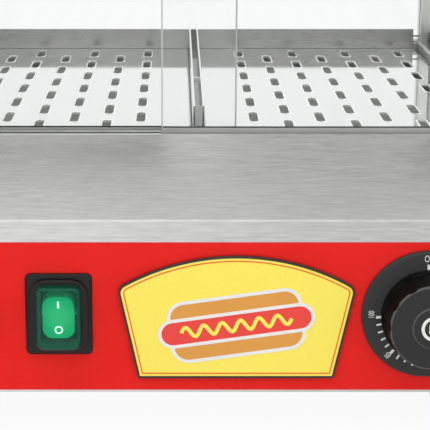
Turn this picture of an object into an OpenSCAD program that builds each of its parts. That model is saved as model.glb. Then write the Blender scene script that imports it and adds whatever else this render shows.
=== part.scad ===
// Hot dog steamer: a countertop cabinet with a folded steel base, a water tank under two slotted
// trays, a glass cabinet with two sliding front doors, and its controls on the front face.
// Millimetres, +Z up, +Y to the back, origin on the worktop under the middle of the object.

/* [Base] */
// Overall width across the side panels
base_w = 330; // [300:1:380]
// Depth from the front face to the rear face
base_d = 370; // [350:1:420]
// Gap between the worktop and the folded base
foot_h = 20; // [14:1:30]
// Height of the upright front face up to its fold
front_h = 81.2; // [74:0.1:90]
// Run of the sloping ledge, front fold to the back of its lip
ledge_run = 45; // [40:0.1:50]
// Angle of the sloping ledge above level
ledge_angle = 35.4; // [32:0.1:40]
// Thickness of the folded steel sheet
sheet_t = 1; // [0.8:0.1:1.2]
// Outside radius of every fold
bend_r = 1.8; // [1.6:0.1:2.4]
// Width of the flanges that carry the bottom plate
hem_w = 15; // [12:1:18]
// Height of the deck round the trays above the base's underside
deck_h = 108; // [104:0.5:114]
// Width of the deck along each side
deck_side_w = 19; // [18:0.5:24]
// Width of the deck along the back
deck_rear_w = 14.7; // [13.5:0.1:18]
// Depth of the door shelf behind the lip
shelf_d = 20; // [19:0.1:26]
// Drop from the deck to the door shelf
shelf_drop = 3; // [2:0.1:4]
// Drop from the deck to the tank's flange
lip_drop = 6.2; // [5.6:0.1:8]

/* [Feet] */
// Diameter of a rubber foot at the base
foot_d = 36; // [24:1:40]
// Diameter of a rubber foot on the worktop
foot_tip_d = 30; // [20:1:34]
// Distance of a foot's axis from the side of the base
foot_inset_x = 38.5; // [30:0.5:60]
// Distance of a foot's axis from the front and rear faces
foot_inset_y = 35; // [30:1:60]
// Thread diameter of the foot screws
foot_screw_d = 4; // [3:0.5:6]

/* [Tank and trays] */
// Gap between the trays and the tank's rim
tray_gap = 0.7; // [0.4:0.1:1.2]
// Drop from the deck to the trays' top face
tray_drop = 4.6; // [3.6:0.1:6]
// Height of a tray's outer skirt
tray_skirt = 11; // [9:0.1:14]
// Height of a tray's skirt beside the divider
tray_inner_skirt = 7; // [5:0.1:8]
// Sheet thickness of trays, divider and tank
tray_t = 1; // [0.8:0.1:1.2]
// Width of the tank's ledge under the trays
tank_ledge = 10; // [8:0.5:14]
// Depth of the tank below its ledge
tank_depth = 67; // [58:1:72]
// Corner radius of the tank
tank_r = 14; // [8:1:24]
// Width of the tank's outer flange
tank_flange = 8; // [5:0.5:10]
// Number of slot columns in a tray
slot_cols = 7; // [3:1:7]
// Number of slots in the longer columns
slot_rows = 7; // [3:1:7]
// Pitch from one slot column to the next
slot_pitch_x = 17; // [14:0.1:17.4]
// Pitch along a slot column
slot_pitch_y = 41.3; // [36:0.1:42]
// Width of a tray slot
slot_w = 4.4; // [3:0.1:6]
// Length of a tray slot
slot_l = 24.4; // [16:0.1:28]
// Distance of the first column from the tray's inner edge
slot_inset = 26; // [16:0.1:26.5]
// Distance of the first row from the tray's back edge
slot_back = 21.3; // [16:0.1:26]
// Width of the divider between the trays
divider_w = 5.2; // [4:0.1:8]
// Height of the divider above the trays
divider_h = 17; // [10:0.1:25]
// Width of the bar that carries the divider and the trays' inner edges
crossbar_w = 24; // [16:1:30]

/* [Cabinet] */
// Overall height from the worktop to the roof
total_h = 400; // [360:1:440]
// Height of the roof's skirt
roof_h = 16; // [12:1:24]
// Overhang of the roof in front of the posts
roof_overhang = 4.4; // [2:0.1:8]
// Radius of the roof's rolled edge
roof_edge_r = 5; // [3:0.5:7]
// Corner radius of the roof in plan
roof_corner_r = 8; // [8:0.5:14]
// Width of a square corner post
post_w = 17; // [16:0.5:18]
// Corner radius of a post's outer edge
post_r = 3; // [1:0.5:5]
// Diameter of the screw bore in a post
post_bore = 4; // [3:0.1:5]
// Distance of the screw bore from a post's outer faces
post_bore_inset = 6; // [5:0.1:6.4]
// Thickness of the side and rear glass and of the door panes
glass_t = 4; // [3:0.1:4.4]
// Depth of the glass grooves in the posts
groove_d = 5; // [4:0.1:6]
// Clearance of the glass in a groove
glass_gap = 0.3; // [0.2:0.05:0.5]
// Height of the rail in front of the rear glass
rail_h = 8; // [5:0.1:14]
// Gap between the rail's ends and the posts
rail_end_gap = 4.5; // [2:0.1:10]
// Wall thickness of the rubber glazing channel
seal_t = 1.6; // [1:0.1:1.8]
// Height of the rubber glazing channel
seal_h = 6; // [4:0.1:8]

/* [Doors] */
// Overlap of the two panes in the middle
door_overlap = 35.3; // [20:0.1:60]
// Gap between a closed pane and its post
door_side_gap = 0.5; // [0.3:0.1:1]
// Distance from one pane's plane to the other's
door_pitch = 10.5; // [10:0.1:11]
// Wall thickness of the steel shoe under a pane
shoe_t = 0.4; // [0.3:0.05:0.5]
// Height of the steel shoe under a pane
shoe_h = 5.8; // [5:0.1:8]
// Running clearance of a door in its tracks
door_run_gap = 0.3; // [0.2:0.05:0.4]
// Wall thickness of the door tracks
track_wall = 0.7; // [0.6:0.05:0.8]
// Floor thickness under the front pane
track_floor_front = 2.6; // [1:0.1:3]
// Floor thickness under the rear pane
track_floor_rear = 0.7; // [0.6:0.1:2]
// Height of the lower track's rib between the panes
track_rib_h = 5.8; // [4:0.1:6.5]
// Depth of the upper door track
top_track_h = 12; // [10:0.5:16]
// Lift-out room above a pane in the upper track
door_lift_room = 3; // [2:0.1:5]
// Height of a door pull
pull_h = 70; // [40:1:110]
// Width of a door pull
pull_w = 14; // [10:0.5:20]
// Thickness of a door pull
pull_t = 4.2; // [3:0.1:4.6]
// Distance of a pull's middle from the pane's outer edge
pull_inset = 20; // [12:1:40]
// Height of a pull's middle above the worktop
pull_z = 255; // [200:1:300]

/* [Front controls] */
// Height of the coloured front panel
panel_h = 69.5; // [60:0.1:74]
// Drop from the front fold to the coloured panel
panel_drop = 9.9; // [6:0.1:12]
// Thickness of the coloured panel
panel_t = 0.4; // [0.3:0.05:0.6]
// Height of the controls' centre line above the base's underside
control_z = 38.2; // [36:0.1:41]
// Dial centre to the right of the middle
dial_x = 102; // [96:0.1:115]
// Diameter of the dial bezel
dial_d = 59; // [50:0.5:62]
// Thickness of the dial bezel
dial_t = 2.5; // [1.5:0.1:3]
// Diameter of the knob's foot
knob_d = 42; // [34:0.5:46]
// Diameter of the knob's face
knob_face_d = 38.6; // [28:0.1:40]
// Height of the knob
knob_h = 18.2; // [14:0.1:24]
// Number of scallops round the knob
knob_lobes = 12; // [8:1:16]
// Depth of a scallop
knob_lobe_depth = 0.85; // [0.5:0.05:1.5]
// Diameter of the thermostat shaft
shaft_d = 6; // [5:0.5:8]
// Clearance between the knob and the bezel
knob_gap = 0.3; // [0.3:0.1:1]
// Diameter of the thermostat's threaded bush
bush_d = 10; // [9:0.5:12]
// Width and height of the thermostat body
thermo_w = 36; // [30:0.5:44]
// Depth of the thermostat body
thermo_d = 30; // [24:0.5:40]
// Switch centre to the left of the middle
switch_x = 63.4; // [58:0.1:66]
// Width of the switch frame
switch_w = 30; // [26:0.5:34]
// Height of the switch frame
switch_h = 38; // [34:0.5:44]
// Width of the clear cover over the rocker
cover_w = 19.7; // [18:0.1:22]
// Height of the clear cover over the rocker
cover_h = 29; // [27:0.1:31]
// Reach of the clear cover in front of the panel
cover_reach = 9.4; // [9:0.1:12]
// Width of the rocker
rocker_w = 14.4; // [12:0.1:14.6]
// Height of the rocker
rocker_h = 20.6; // [18:0.1:21]
// Tilt of the rocker to each side
rocker_tilt = 8; // [5:0.5:9]
// Lamp centre to the left of the middle
lamp_x = 99.5; // [94:0.1:115]
// Diameter of the lamp bezel
lamp_d = 18; // [14:0.5:20]
// Sign plate centre to the right of the middle
sign_x = 16.3; // [13:0.1:18]
// Width of the sign plate at its shoulders
sign_w = 107; // [90:0.5:110]
// Width of the sign plate at its foot
sign_foot_w = 88.5; // [70:0.5:95]
// Height of the sign plate at its shoulders
sign_shoulder_h = 42.5; // [34:0.1:46]
// Height of the sign plate at its crown
sign_h = 57.5; // [50:0.1:60]
// Thickness of the sign plate
sign_t = 1.6; // [1:0.1:3]
// Drop from the controls' centre line to the sign plate's foot
sign_drop = 30.2; // [28:0.1:31]

/* [Heater and services] */
// Diameter of the heating element's tube
element_d = 8; // [6:0.1:10]
// Height of the heating element above the tank's floor
element_z = 13; // [8:0.5:20]
// Spacing of the element's legs
element_pitch = 44; // [36:1:46]
// Length of the heating element inside the tank
element_l = 240; // [180:1:245]
// Height of the thermostat bulb above the tank's floor
bulb_z = 27; // [24:0.5:34]
// Diameter of the thermostat bulb
bulb_d = 6.4; // [5:0.1:8]
// Length of the thermostat bulb in the water
bulb_l = 80; // [50:1:110]
// Height of the water level probe above the tank's floor
probe_z = 40; // [30:0.5:48]
// Distance of the water level probe from the tank's left wall
probe_inset = 26; // [25:0.5:40]
// Length of the water level probe's rod
probe_l = 60; // [45:1:90]
// Drain tap to the left of the middle
tap_x = 95; // [70:1:110]
// Height of the drain above the tank's floor
tap_z = 8; // [8:0.1:12]
// Reach of the drain tap behind the rear face
tap_reach = 22; // [20:0.1:40]
// Outside diameter of the drain tap's hose tail
tail_d = 10; // [8:0.5:12]
// Power inlet to the right of the middle
inlet_x = 95; // [70:1:120]
// Height of the power inlet above the base's underside
inlet_z = 35; // [25:0.5:60]

/* [Hidden] */
$fn = 64;

// Small overrun that lets a cut pass clear of a face
over = 1;
// Gap left where two panels meet at a corner
seam = 0.2;

// Main faces and levels of the base
half_w = base_w / 2;
front_y = -base_d / 2;
rear_y = base_d / 2;
base_z = foot_h;
bend_z = base_z + front_h;
lip_y = front_y + ledge_run;
lip_z = bend_z + ledge_run * tan(ledge_angle);
deck_z = base_z + deck_h;
shelf_z = deck_z - shelf_drop;
shelf_y = lip_y + shelf_d;
flange_z = deck_z - lip_drop;
rim_x = half_w - deck_side_w;
rim_y = rear_y - deck_rear_w;
plate_z = base_z + sheet_t;

// Levels and outlines of the tank and trays; an outline is [half width, front y, back y]
tray_z = deck_z - tray_drop;
ledge_z = tray_z - tray_skirt;
rim_foot_z = ledge_z - tray_t;
crossbar_z = tray_z - tray_inner_skirt;
tank_z = ledge_z - tank_depth;
well = [rim_x - 0.6, shelf_y + seam, rim_y - 1.3];
sump = [well.x - tank_ledge, well.y + tank_ledge, well.z - tank_ledge];
well_r = 2;
tray_edge = [well.x - tray_gap, well.y + tray_gap - 0.1, well.z - tray_gap + 0.1];
tray_inner_x = divider_w / 2 + door_run_gap;
sump_front_y = sump.y - tray_t;
sump_rear_y = sump.z + tray_t;

// Cabinet levels
post_front_y = lip_y + 1.4;
post_back_y = rear_y - post_w;
post_in_x = half_w - post_w;
roof_z = total_h - roof_h;
side_glass_x = half_w - post_w / 2;
seal_floor = 1.5;
rear_glass_y = rim_y + 1.7;
groove_w = glass_t + 2 * glass_gap;

// Door planes, each given by the pane's front face
shoe_w = glass_t + 2 * shoe_t;
groove_run = shoe_w + 2 * door_run_gap;
track_y = lip_y + 0.1;
front_groove_y = track_y + track_wall;
front_pane_y = front_groove_y + door_run_gap + shoe_t;
rear_pane_y = front_pane_y + door_pitch;
rear_groove_y = front_groove_y + door_pitch;
track_back_y = rear_groove_y + groove_run + track_wall;
track_half = post_in_x - seam;
door_out_x = post_in_x - door_side_gap;
door_w = door_out_x + door_overlap / 2;
door_top = roof_z - track_wall - door_lift_room;

// Front control places
panel_face_y = front_y - panel_t;
panel_top_z = bend_z - panel_drop;
dial_z = base_z + control_z;
bezel_face_y = panel_face_y - dial_t;
shaft_gap = 0.2;
turn_gap = 0.3;
bush_gap = 0.4;
nut_t = 2.6;
nut_d = 17;
cover_wall = 1;

// Colours of the finishes
steel = "silver";
glass_clear = [0.85, 0.93, 0.92, 0.35];
black_plastic = [0.12, 0.12, 0.13];
rubber = [0.08, 0.08, 0.08];
brass = [0.78, 0.62, 0.32];

// Folded sheet: the path is the sheet's outer face, and the metal lies to the right of it

function unit(v) = v / norm(v);
function right_of(v) = [v.y, -v.x];
function turn(u, v) = atan2(u.x * v.y - u.y * v.x, u * v);
function arc(c, r, from, sweep, steps) =
    [for (i = [0:steps]) c + r * [cos(from + sweep * i / steps), sin(from + sweep * i / steps)]];
function face_r(bend, r, t) = bend < 0 ? r : r - t;
function bend_mid(p, u, bend, r) =
    p - u * r * tan(abs(bend) / 2) - sign(bend) * r * right_of(u);
function fold(a, b, c, r, t, side) =
    let (u = unit(b - a), v = unit(c - b), bend = turn(u, v), rf = face_r(bend, r, t),
         mid = bend_mid(b, u, bend, rf), out = sign(bend) * right_of(u))
    arc(mid, rf + side * sign(bend) * t, atan2(out.y, out.x), bend, 8);
function flip(list) = [for (i = [len(list) - 1:-1:0]) list[i]];
function folds(path, r, t, side) =
    [for (i = [1:len(path) - 2]) each fold(path[i - 1], path[i], path[i + 1], r, t, side)];
function sheet_outline(path, r, t) =
    let (last = len(path) - 1,
         start = right_of(unit(path[1] - path[0])) * t,
         end = right_of(unit(path[last] - path[last - 1])) * t)
    concat([path[0]], folds(path, r, t, 0), [path[last]],
           [path[last] + end], flip(folds(path, r, t, 1)), [path[0] + start]);

module sheet(path, r = bend_r, t = sheet_t) {
    polygon(sheet_outline(path, r, t));
}

// Extrusions along X and Y: the outline's first axis becomes Y or X, its second becomes Z

module along_x(from, to) {
    translate([from, 0, 0]) rotate([90, 0, 90]) linear_extrude(to - from) children();
}

module along_y(from, to) {
    translate([0, to, 0]) rotate([90, 0, 0]) linear_extrude(to - from) children();
}

// Axis to the front: a turned piece's own +Z points at the user
module facing_front(x, y, z) {
    translate([x, y, z]) rotate([90, 0, 0]) children();
}

module facing_back(x, y, z) {
    translate([x, y, z]) rotate([-90, 0, 0]) children();
}

module mirrored_pair() {
    children();
    mirror([1, 0, 0]) children();
}

module round_rect(w, h, r) {
    square([w - 2 * r, h], center = true);
    square([w, h - 2 * r], center = true);
    for (x = [-1, 1], y = [-1, 1]) translate([x * (w / 2 - r), y * (h / 2 - r)]) circle(r);
}

// Rounded outline in plan from [half width, front y, back y], grown by a margin
module plan(outline, r, grow = 0) {
    d = outline.z - outline.y + 2 * grow;
    translate([0, (outline.y + outline.z) / 2]) round_rect(2 * (outline.x + grow), d, r);
}

module block(from, to) {
    translate(from) cube(to - from);
}

module slot(l, w) {
    square([w, l - w], center = true);
    for (s = [-1, 1]) translate([0, s * (l - w) / 2]) circle(w / 2);
}

// Base: front, sides, back and bottom

lamp_hole_d = 12.4;
switch_cut = [22, 31];
thermo_cut_d = bush_d + 2 * bush_gap;

module front_cuts(depth) {
    facing_front(-lamp_x, front_y + depth, dial_z) cylinder(d = lamp_hole_d, h = 2 * depth);
    facing_front(dial_x, front_y + depth, dial_z) cylinder(d = thermo_cut_d, h = 2 * depth);
    translate([-switch_x, front_y, dial_z])
        cube([switch_cut.x, 2 * depth, switch_cut.y], center = true);
}

module front_fascia() {
    color(steel) difference() {
        along_x(-half_w + sheet_t, half_w - sheet_t) sheet([
            [front_y + hem_w, base_z], [front_y, base_z], [front_y, bend_z], [lip_y, lip_z],
            [lip_y, shelf_z], [shelf_y, shelf_z], [shelf_y, flange_z]
        ]);
        front_cuts(4 * sheet_t);
    }
}

// The side's outline follows the front, the ledge, the door shelf and the deck
module side_outline() {
    polygon([
        [front_y, base_z], [front_y, bend_z], [lip_y - bend_r, lip_z - bend_r * tan(ledge_angle)],
        [lip_y - bend_r, shelf_z], [shelf_y, shelf_z], [shelf_y, deck_z], [rear_y, deck_z],
        [rear_y, base_z]
    ]);
}

// Side wall with its flange and deck, and a return at the back for the rear panel's screws
module side_panel() {
    wall_in_x = -half_w + sheet_t;
    difference() {
        intersection() {
            along_y(front_y, rear_y) sheet([
                [-half_w + hem_w, base_z], [-half_w, base_z], [-half_w, deck_z],
                [-rim_x, deck_z], [-rim_x, flange_z]
            ]);
            along_x(-half_w - over, 0) side_outline();
        }
        block([wall_in_x, front_y - over, base_z - over], [0, front_y + hem_w + seam, deck_z + over]);
        block([wall_in_x, front_y, base_z + hem_w], [0, shelf_y + seam, deck_z + over]);
        block([wall_in_x, rear_y - hem_w - seam, base_z - over], [0, rear_y + over, base_z + hem_w]);
        block([wall_in_x, rim_y - seam, base_z + hem_w], [0, rear_y + over, deck_z + over]);
    }
    difference() {
        block([-half_w + sheet_t / 2, rear_y - 2 * sheet_t, base_z + 2 * bend_r],
              [-half_w + 2 * panel_screw_in, rear_y - sheet_t, deck_z - 2 * bend_r]);
        panel_screw_places() cylinder(d = panel_screw_d + 2 * shaft_gap, h = 6 * sheet_t, center = true);
    }
}

module left_side_panel() {
    color(steel) side_panel();
}

module right_side_panel() {
    color(steel) mirror([1, 0, 0]) side_panel();
}

vent_l = 40;
vent_w = 4;
vent_pitch = 10;
vent_rows = 5;
vent_spread = 60;
tap_axis_z = tank_z + tray_t + tap_z;
tap_pipe_d = 13;
inlet_axis_z = base_z + inlet_z;
inlet_body = [27, 20];

module vent_slots() {
    for (i = [0:vent_rows - 1]) translate([0, i * vent_pitch]) rotate(90) slot(vent_l, vent_w);
}

module rear_panel() {
    color(steel) difference() {
        mirror([0, 1, 0]) along_x(-half_w + sheet_t, half_w - sheet_t) sheet([
            [-rear_y + hem_w, base_z], [-rear_y, base_z], [-rear_y, deck_z], [-rim_y, deck_z],
            [-rim_y, flange_z]
        ]);
        translate([inlet_x, rear_y, inlet_axis_z])
            cube([inlet_body.x + seam, 4 * sheet_t, inlet_body.y + seam], center = true);
        facing_front(-tap_x, rear_y + over, tap_axis_z)
            cylinder(d = tap_pipe_d + 2 * bush_gap, h = 4 * sheet_t);
        translate([0, rear_y + over, base_z + vent_pitch * 2])
            rotate([90, 0, 0]) linear_extrude(4 * sheet_t) vent_slots();
        panel_screw_places() cylinder(d = panel_screw_d + 2 * shaft_gap, h = 6 * sheet_t, center = true);
    }
}

foot_x = half_w - foot_inset_x;
foot_y = rear_y - foot_inset_y;

module at_feet() {
    for (x = [-1, 1], y = [-1, 1]) translate([x * foot_x, y * foot_y, 0]) children();
}

module bottom_plate() {
    side = half_w - 2 * sheet_t;
    color(steel) difference() {
        block([-side, front_y + 2 * sheet_t, plate_z], [side, rear_y - 2 * sheet_t, plate_z + sheet_t]);
        at_feet() cylinder(d = foot_screw_d + 2 * bush_gap, h = plate_z + 4 * sheet_t);
        for (x = [-1, 1]) translate([x * vent_spread, -vent_pitch * 2, plate_z - over])
            linear_extrude(4 * sheet_t) vent_slots();
    }
}

foot_recess_d = 12;
foot_recess_h = 9;
foot_edge = 2;
foot_screw_grip = 6;

module feet() {
    color(rubber) at_feet() difference() {
        rotate_extrude() polygon([
            [0, 0], [foot_tip_d / 2 - foot_edge, 0], [foot_tip_d / 2, foot_edge],
            [foot_d / 2, plate_z - foot_edge], [foot_d / 2, plate_z], [0, plate_z]
        ]);
        translate([0, 0, -over]) cylinder(d = foot_recess_d, h = foot_recess_h + over);
        cylinder(d = foot_screw_d + 2 * shaft_gap, h = plate_z + over);
    }
}

// Pan head screw with its shank along +Z, the underside of its head at zero and a cross in its top
module pan_screw(d, l) {
    head = [d * 0.95, d * 0.6];
    cross = [d, d * 0.24, d * 0.36];
    difference() {
        rotate_extrude() polygon([
            [0, -head.y], [head.x * 0.75, -head.y], [head.x, -head.y * 0.4], [head.x, 0], [d / 2, 0],
            [d / 2, l], [0, l]
        ]);
        for (a = [0, 90]) rotate(a) translate([0, 0, -head.y])
            cube([cross.x, cross.y, 2 * cross.z], center = true);
    }
}

module foot_screws() {
    color(steel) at_feet() translate([0, 0, foot_recess_h])
        pan_screw(foot_screw_d, plate_z - foot_recess_h + foot_screw_grip);
}

panel_screw_d = 4;
panel_screw_l = 8;
panel_screw_in = 12;

// Rear panel screw places, with +Z pointing forward into the base
module panel_screw_places() {
    for (x = [-1, 1], z = [base_z + panel_screw_in, deck_z - panel_screw_in])
        facing_front(x * (half_w - panel_screw_in), rear_y, z) children();
}

module panel_screws() {
    color(steel) panel_screw_places() pan_screw(panel_screw_d, panel_screw_l);
}

// Tank, trays and divider

element_x = 1.5 * element_pitch;
element_axis_z = tank_z + tray_t + element_z;
bulb_axis_z = tank_z + tray_t + bulb_z;
probe_axis_z = tank_z + tray_t + probe_z;
probe_x = sump.x - probe_inset;
fitting_d = 12;
gland_d = 10;
probe_bush_d = 12;

module tank_holes() {
    hole_l = 6 * tray_t;
    at_y = sump_front_y + tray_t + over;
    for (x = [-1, 1]) facing_front(x * element_x, at_y, element_axis_z)
        cylinder(d = fitting_d + 2 * shaft_gap, h = hole_l);
    facing_front(dial_x, at_y, bulb_axis_z) cylinder(d = gland_d + 2 * shaft_gap, h = hole_l);
    facing_front(-probe_x, at_y, probe_axis_z) cylinder(d = probe_bush_d + 2 * shaft_gap, h = hole_l);
    facing_back(-tap_x, sump_rear_y - tray_t - over, tap_axis_z) cylinder(d = water_way_d, h = hole_l);
}

// Stepped rim: a flange under the deck, a low wall and the ledge that carries the trays
module tank_rim() {
    color(steel) difference() {
        union() {
            translate([0, 0, flange_z - tray_t]) linear_extrude(tray_t) plan(well, well_r, tank_flange);
            translate([0, 0, rim_foot_z]) linear_extrude(flange_z - rim_foot_z) plan(well, well_r, tray_t);
        }
        translate([0, 0, ledge_z]) linear_extrude(flange_z - ledge_z + over) plan(well, well_r);
        translate([0, 0, rim_foot_z - over]) linear_extrude(flange_z - rim_foot_z) plan(sump, tank_r);
    }
}

// Deep pan welded under the rim's ledge
module water_tank() {
    color(steel) difference() {
        translate([0, 0, tank_z]) linear_extrude(rim_foot_z - tank_z) plan(sump, tank_r + tray_t, tray_t);
        translate([0, 0, tank_z + tray_t]) linear_extrude(rim_foot_z - tank_z) plan(sump, tank_r);
        tank_holes();
    }
}

// The bar spans the tank from ledge to ledge
module tray_crossbar() {
    color(steel) block([-crossbar_w / 2, well.y + tray_gap, ledge_z],
                       [crossbar_w / 2, well.z - tray_gap, crossbar_z]);
}

divider_front_y = tray_edge.y + 1.2;
divider_back_y = tray_edge.z - 0.4;
divider_t = 0.8;
divider_bend_r = 1.2;
spacer_y = -33;
spacer_d = 3;
spacer_drop = 2.2;

// Open channel on the crossbar, closed at its front end, with a spacer between its walls
module tray_divider() {
    top_z = tray_z + divider_h;
    half = divider_w / 2;
    bond = divider_t / 2;
    color(steel) {
        along_y(divider_front_y, divider_back_y) sheet([
            [half, top_z], [half, crossbar_z], [-half, crossbar_z], [-half, top_z]
        ], divider_bend_r, divider_t);
        block([-half + bond, divider_front_y, crossbar_z + bond],
              [half - bond, divider_front_y + divider_t, top_z]);
        translate([-half + bond, spacer_y, top_z - spacer_drop]) rotate([0, 90, 0])
            cylinder(d = spacer_d, h = divider_w - divider_t);
    }
}

// Slots stand in columns along the depth, and every second column is set back by half a pitch
module tray_slots() {
    for (c = [0:slot_cols - 1]) {
        shift = c % 2;
        for (r = [0:slot_rows - 1 - shift])
            translate([-tray_inner_x - slot_inset - c * slot_pitch_x,
                       tray_edge.z - slot_back - (r + shift / 2) * slot_pitch_y])
                slot(slot_l, slot_w);
    }
}

module tray() {
    difference() {
        along_y(tray_edge.y, tray_edge.z) sheet([
            [-tray_edge.x, ledge_z], [-tray_edge.x, tray_z], [-tray_inner_x, tray_z],
            [-tray_inner_x, crossbar_z]
        ], bend_r, tray_t);
        translate([0, 0, tray_z - 3 * tray_t]) linear_extrude(6 * tray_t) tray_slots();
    }
}

module left_tray() {
    color("gainsboro") tray();
}

module right_tray() {
    color("gainsboro") mirror([1, 0, 0]) tray();
}

// Heater, sensors and wiring block

cold_end = 24;
element_front_y = sump_front_y - cold_end;
turn_r = element_pitch / 2;
element_back_y = sump.y + element_l - turn_r - element_d / 2;
element_loop_y = sump.y + 2 * element_pitch;

module element_leg(x, from, to) {
    facing_back(x, from, element_axis_z) cylinder(d = element_d, h = to - from);
}

module element_turn(x, y, start) {
    translate([x, y, element_axis_z]) rotate(start)
        rotate_extrude(angle = 180) translate([turn_r, 0]) circle(d = element_d);
}

// One tube bent into three hairpin turns, with both cold ends through the tank's front wall
module heating_element() {
    color("dimgray") {
        for (s = [-1, 1]) {
            element_leg(s * element_x, element_front_y, element_back_y);
            element_leg(s * turn_r, element_loop_y, element_back_y);
            element_turn(s * element_pitch, element_back_y, 0);
        }
        element_turn(0, element_loop_y, 180);
    }
}

hex_fn = 6;
fitting_hex_d = 22;
fitting_t = 5;

// Bush with a hex flange outside the tank and a round collar inside, bored for what it seals
module wall_fitting(x, z, bush, bore, hex) {
    difference() {
        facing_front(x, sump.y + fitting_t, z) {
            cylinder(d = bush + 5, h = fitting_t);
            cylinder(d = bush, h = fitting_t + 2 * tray_t);
            translate([0, 0, fitting_t + tray_t]) cylinder(d = hex, h = fitting_t, $fn = hex_fn);
        }
        facing_front(x, sump.y + 2 * fitting_t, z) cylinder(d = bore, h = 6 * fitting_t);
    }
}

module element_fittings() {
    color(brass) for (x = [-1, 1])
        wall_fitting(x * element_x, element_axis_z, fitting_d, element_d + 2 * shaft_gap, fitting_hex_d);
}

probe_d = 5;

module level_probe() {
    color("gray") {
        wall_fitting(-probe_x, probe_axis_z, probe_bush_d, probe_d, fitting_hex_d);
        facing_back(-probe_x, element_front_y, probe_axis_z) cylinder(d = probe_d, h = probe_l);
    }
}

// Push-on tab of the switches, the lamp and the cut-out
tab = [6.3, 0.8, 8];

module tab_blade() {
    translate([0, 0, -over]) linear_extrude(tab.z + over) square([tab.y, tab.x], center = true);
}

module overheat_cutout() {
    disc_d = 16;
    disc_h = 9;
    ear = [26, 8, 1.5];
    tab_pitch = 8;
    color(black_plastic) facing_front(0, sump_front_y, bulb_axis_z) {
        cylinder(d = disc_d, h = disc_h);
        translate([-ear.x / 2, -ear.y / 2, 0]) cube(ear);
        for (x = [-1, 1]) translate([x * tab_pitch / 2, 0, disc_h]) tab_blade();
    }
}

module terminal_block() {
    poles = 3;
    pole = [20, 14, 16];
    rib = 1;
    side_gap = 3;
    wire_d = 4.5;
    start_y = 60;
    at = [half_w - sheet_t - pole.x - side_gap, start_y, plate_z + sheet_t];
    color("ivory") translate(at) difference() {
        union() {
            cube([pole.x, poles * pole.y, pole.z * 0.6]);
            for (i = [0:poles - 1]) translate([2 * rib, i * pole.y + rib, 0])
                cube([pole.x - 4 * rib, pole.y - 2 * rib, pole.z]);
        }
        for (i = [0:poles - 1], x = [0.3, 0.7])
            translate([pole.x * x, (i + 0.5) * pole.y, pole.z * 0.4]) cylinder(d = wire_d, h = pole.z);
    }
}

gland_hex_d = 17;
capillary_d = 2;

module bulb_gland() {
    color(brass) wall_fitting(dial_x, bulb_axis_z, gland_d, bulb_d + 2 * shaft_gap, gland_hex_d);
}

thermo_back_y = front_y + sheet_t + thermo_d;

// Sensing bulb through the gland, and its capillary back to the thermostat
module thermostat_bulb() {
    bulb_front_y = sump_front_y - fitting_t - 3;
    color("peru") {
        facing_back(dial_x, bulb_front_y, bulb_axis_z)
            cylinder(d = bulb_d, h = sump.y - bulb_front_y + bulb_l);
        facing_back(dial_x, thermo_back_y, bulb_axis_z)
            cylinder(d = capillary_d, h = bulb_front_y - thermo_back_y);
    }
}

// Front panel, sign, thermostat dial, switch and lamp

module red_panel() {
    side = half_w - sheet_t / 2;
    color([0.9, 0.17, 0.15]) difference() {
        block([-side, panel_face_y, panel_top_z - panel_h], [side, front_y, panel_top_z]);
        front_cuts(4 * sheet_t);
    }
}

sign_corner_r = 4.5;
sign_foot_r = 0.8;

// Tapered plate with an arched top through its shoulders and crown
module sign_blank() {
    rise = sign_h - sign_shoulder_h;
    half = sign_w / 2;
    crown_r = (half * half + rise * rise) / (2 * rise);
    splay = (sign_w - sign_foot_w) / 2 / sign_shoulder_h;
    top_half = sign_foot_w / 2 + splay * sign_h;
    intersection() {
        polygon([
            [-sign_foot_w / 2, 0], [sign_foot_w / 2, 0], [top_half, sign_h], [-top_half, sign_h]
        ]);
        translate([0, sign_h - crown_r]) circle(crown_r, $fn = 240);
    }
}

// The shoulders are well rounded, and the corners at the foot only eased
module sign_outline() {
    offset(r = sign_corner_r) offset(delta = -sign_corner_r) sign_blank();
    offset(r = sign_foot_r) offset(delta = -sign_foot_r) intersection() {
        sign_blank();
        translate([-sign_w, 0]) square([2 * sign_w, sign_shoulder_h / 2]);
    }
}

module sign_plate() {
    color([0.97, 0.87, 0.34]) translate([sign_x, 0, dial_z - sign_drop])
        along_y(panel_face_y - sign_t, panel_face_y) sign_outline();
}

bezel_edge = 1;

module dial_bezel() {
    color(black_plastic) facing_front(dial_x, panel_face_y, dial_z) rotate_extrude() polygon([
        [thermo_cut_d / 2, 0], [dial_d / 2, 0], [dial_d / 2, dial_t - bezel_edge],
        [dial_d / 2 - bezel_edge, dial_t], [thermo_cut_d / 2, dial_t]
    ]);
}

module bezel_nut() {
    color(steel) facing_front(dial_x, bezel_face_y, dial_z) difference() {
        cylinder(d = nut_d, h = nut_t, $fn = hex_fn);
        translate([0, 0, -over]) cylinder(d = bush_d + 2 * shaft_gap, h = nut_t + 2 * over);
    }
}

knob_top = 4;
shaft_tip_y = bezel_face_y - knob_h + knob_top;
shaft_sunk = 14;
shaft_root_y = front_y + sheet_t + shaft_sunk;
shaft_flat = 1;
shaft_flat_l = knob_h - 6;

module thermostat_body() {
    foot = [thermo_w + 10, 3, 12];
    bush_l = dial_t + panel_t + nut_t + 2 * sheet_t;
    color(black_plastic) difference() {
        union() {
            translate([dial_x - thermo_w / 2, front_y + sheet_t, dial_z - thermo_w / 2])
                cube([thermo_w, thermo_d, thermo_w]);
            facing_front(dial_x, front_y + 2 * sheet_t, dial_z) cylinder(d = bush_d, h = bush_l);
            translate([dial_x - foot.x / 2, front_y + sheet_t, dial_z - foot.z / 2]) cube(foot);
        }
        facing_front(dial_x, shaft_root_y + turn_gap, dial_z)
            cylinder(d = shaft_d + 2 * turn_gap, h = 4 * thermo_d);
    }
}

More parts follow.
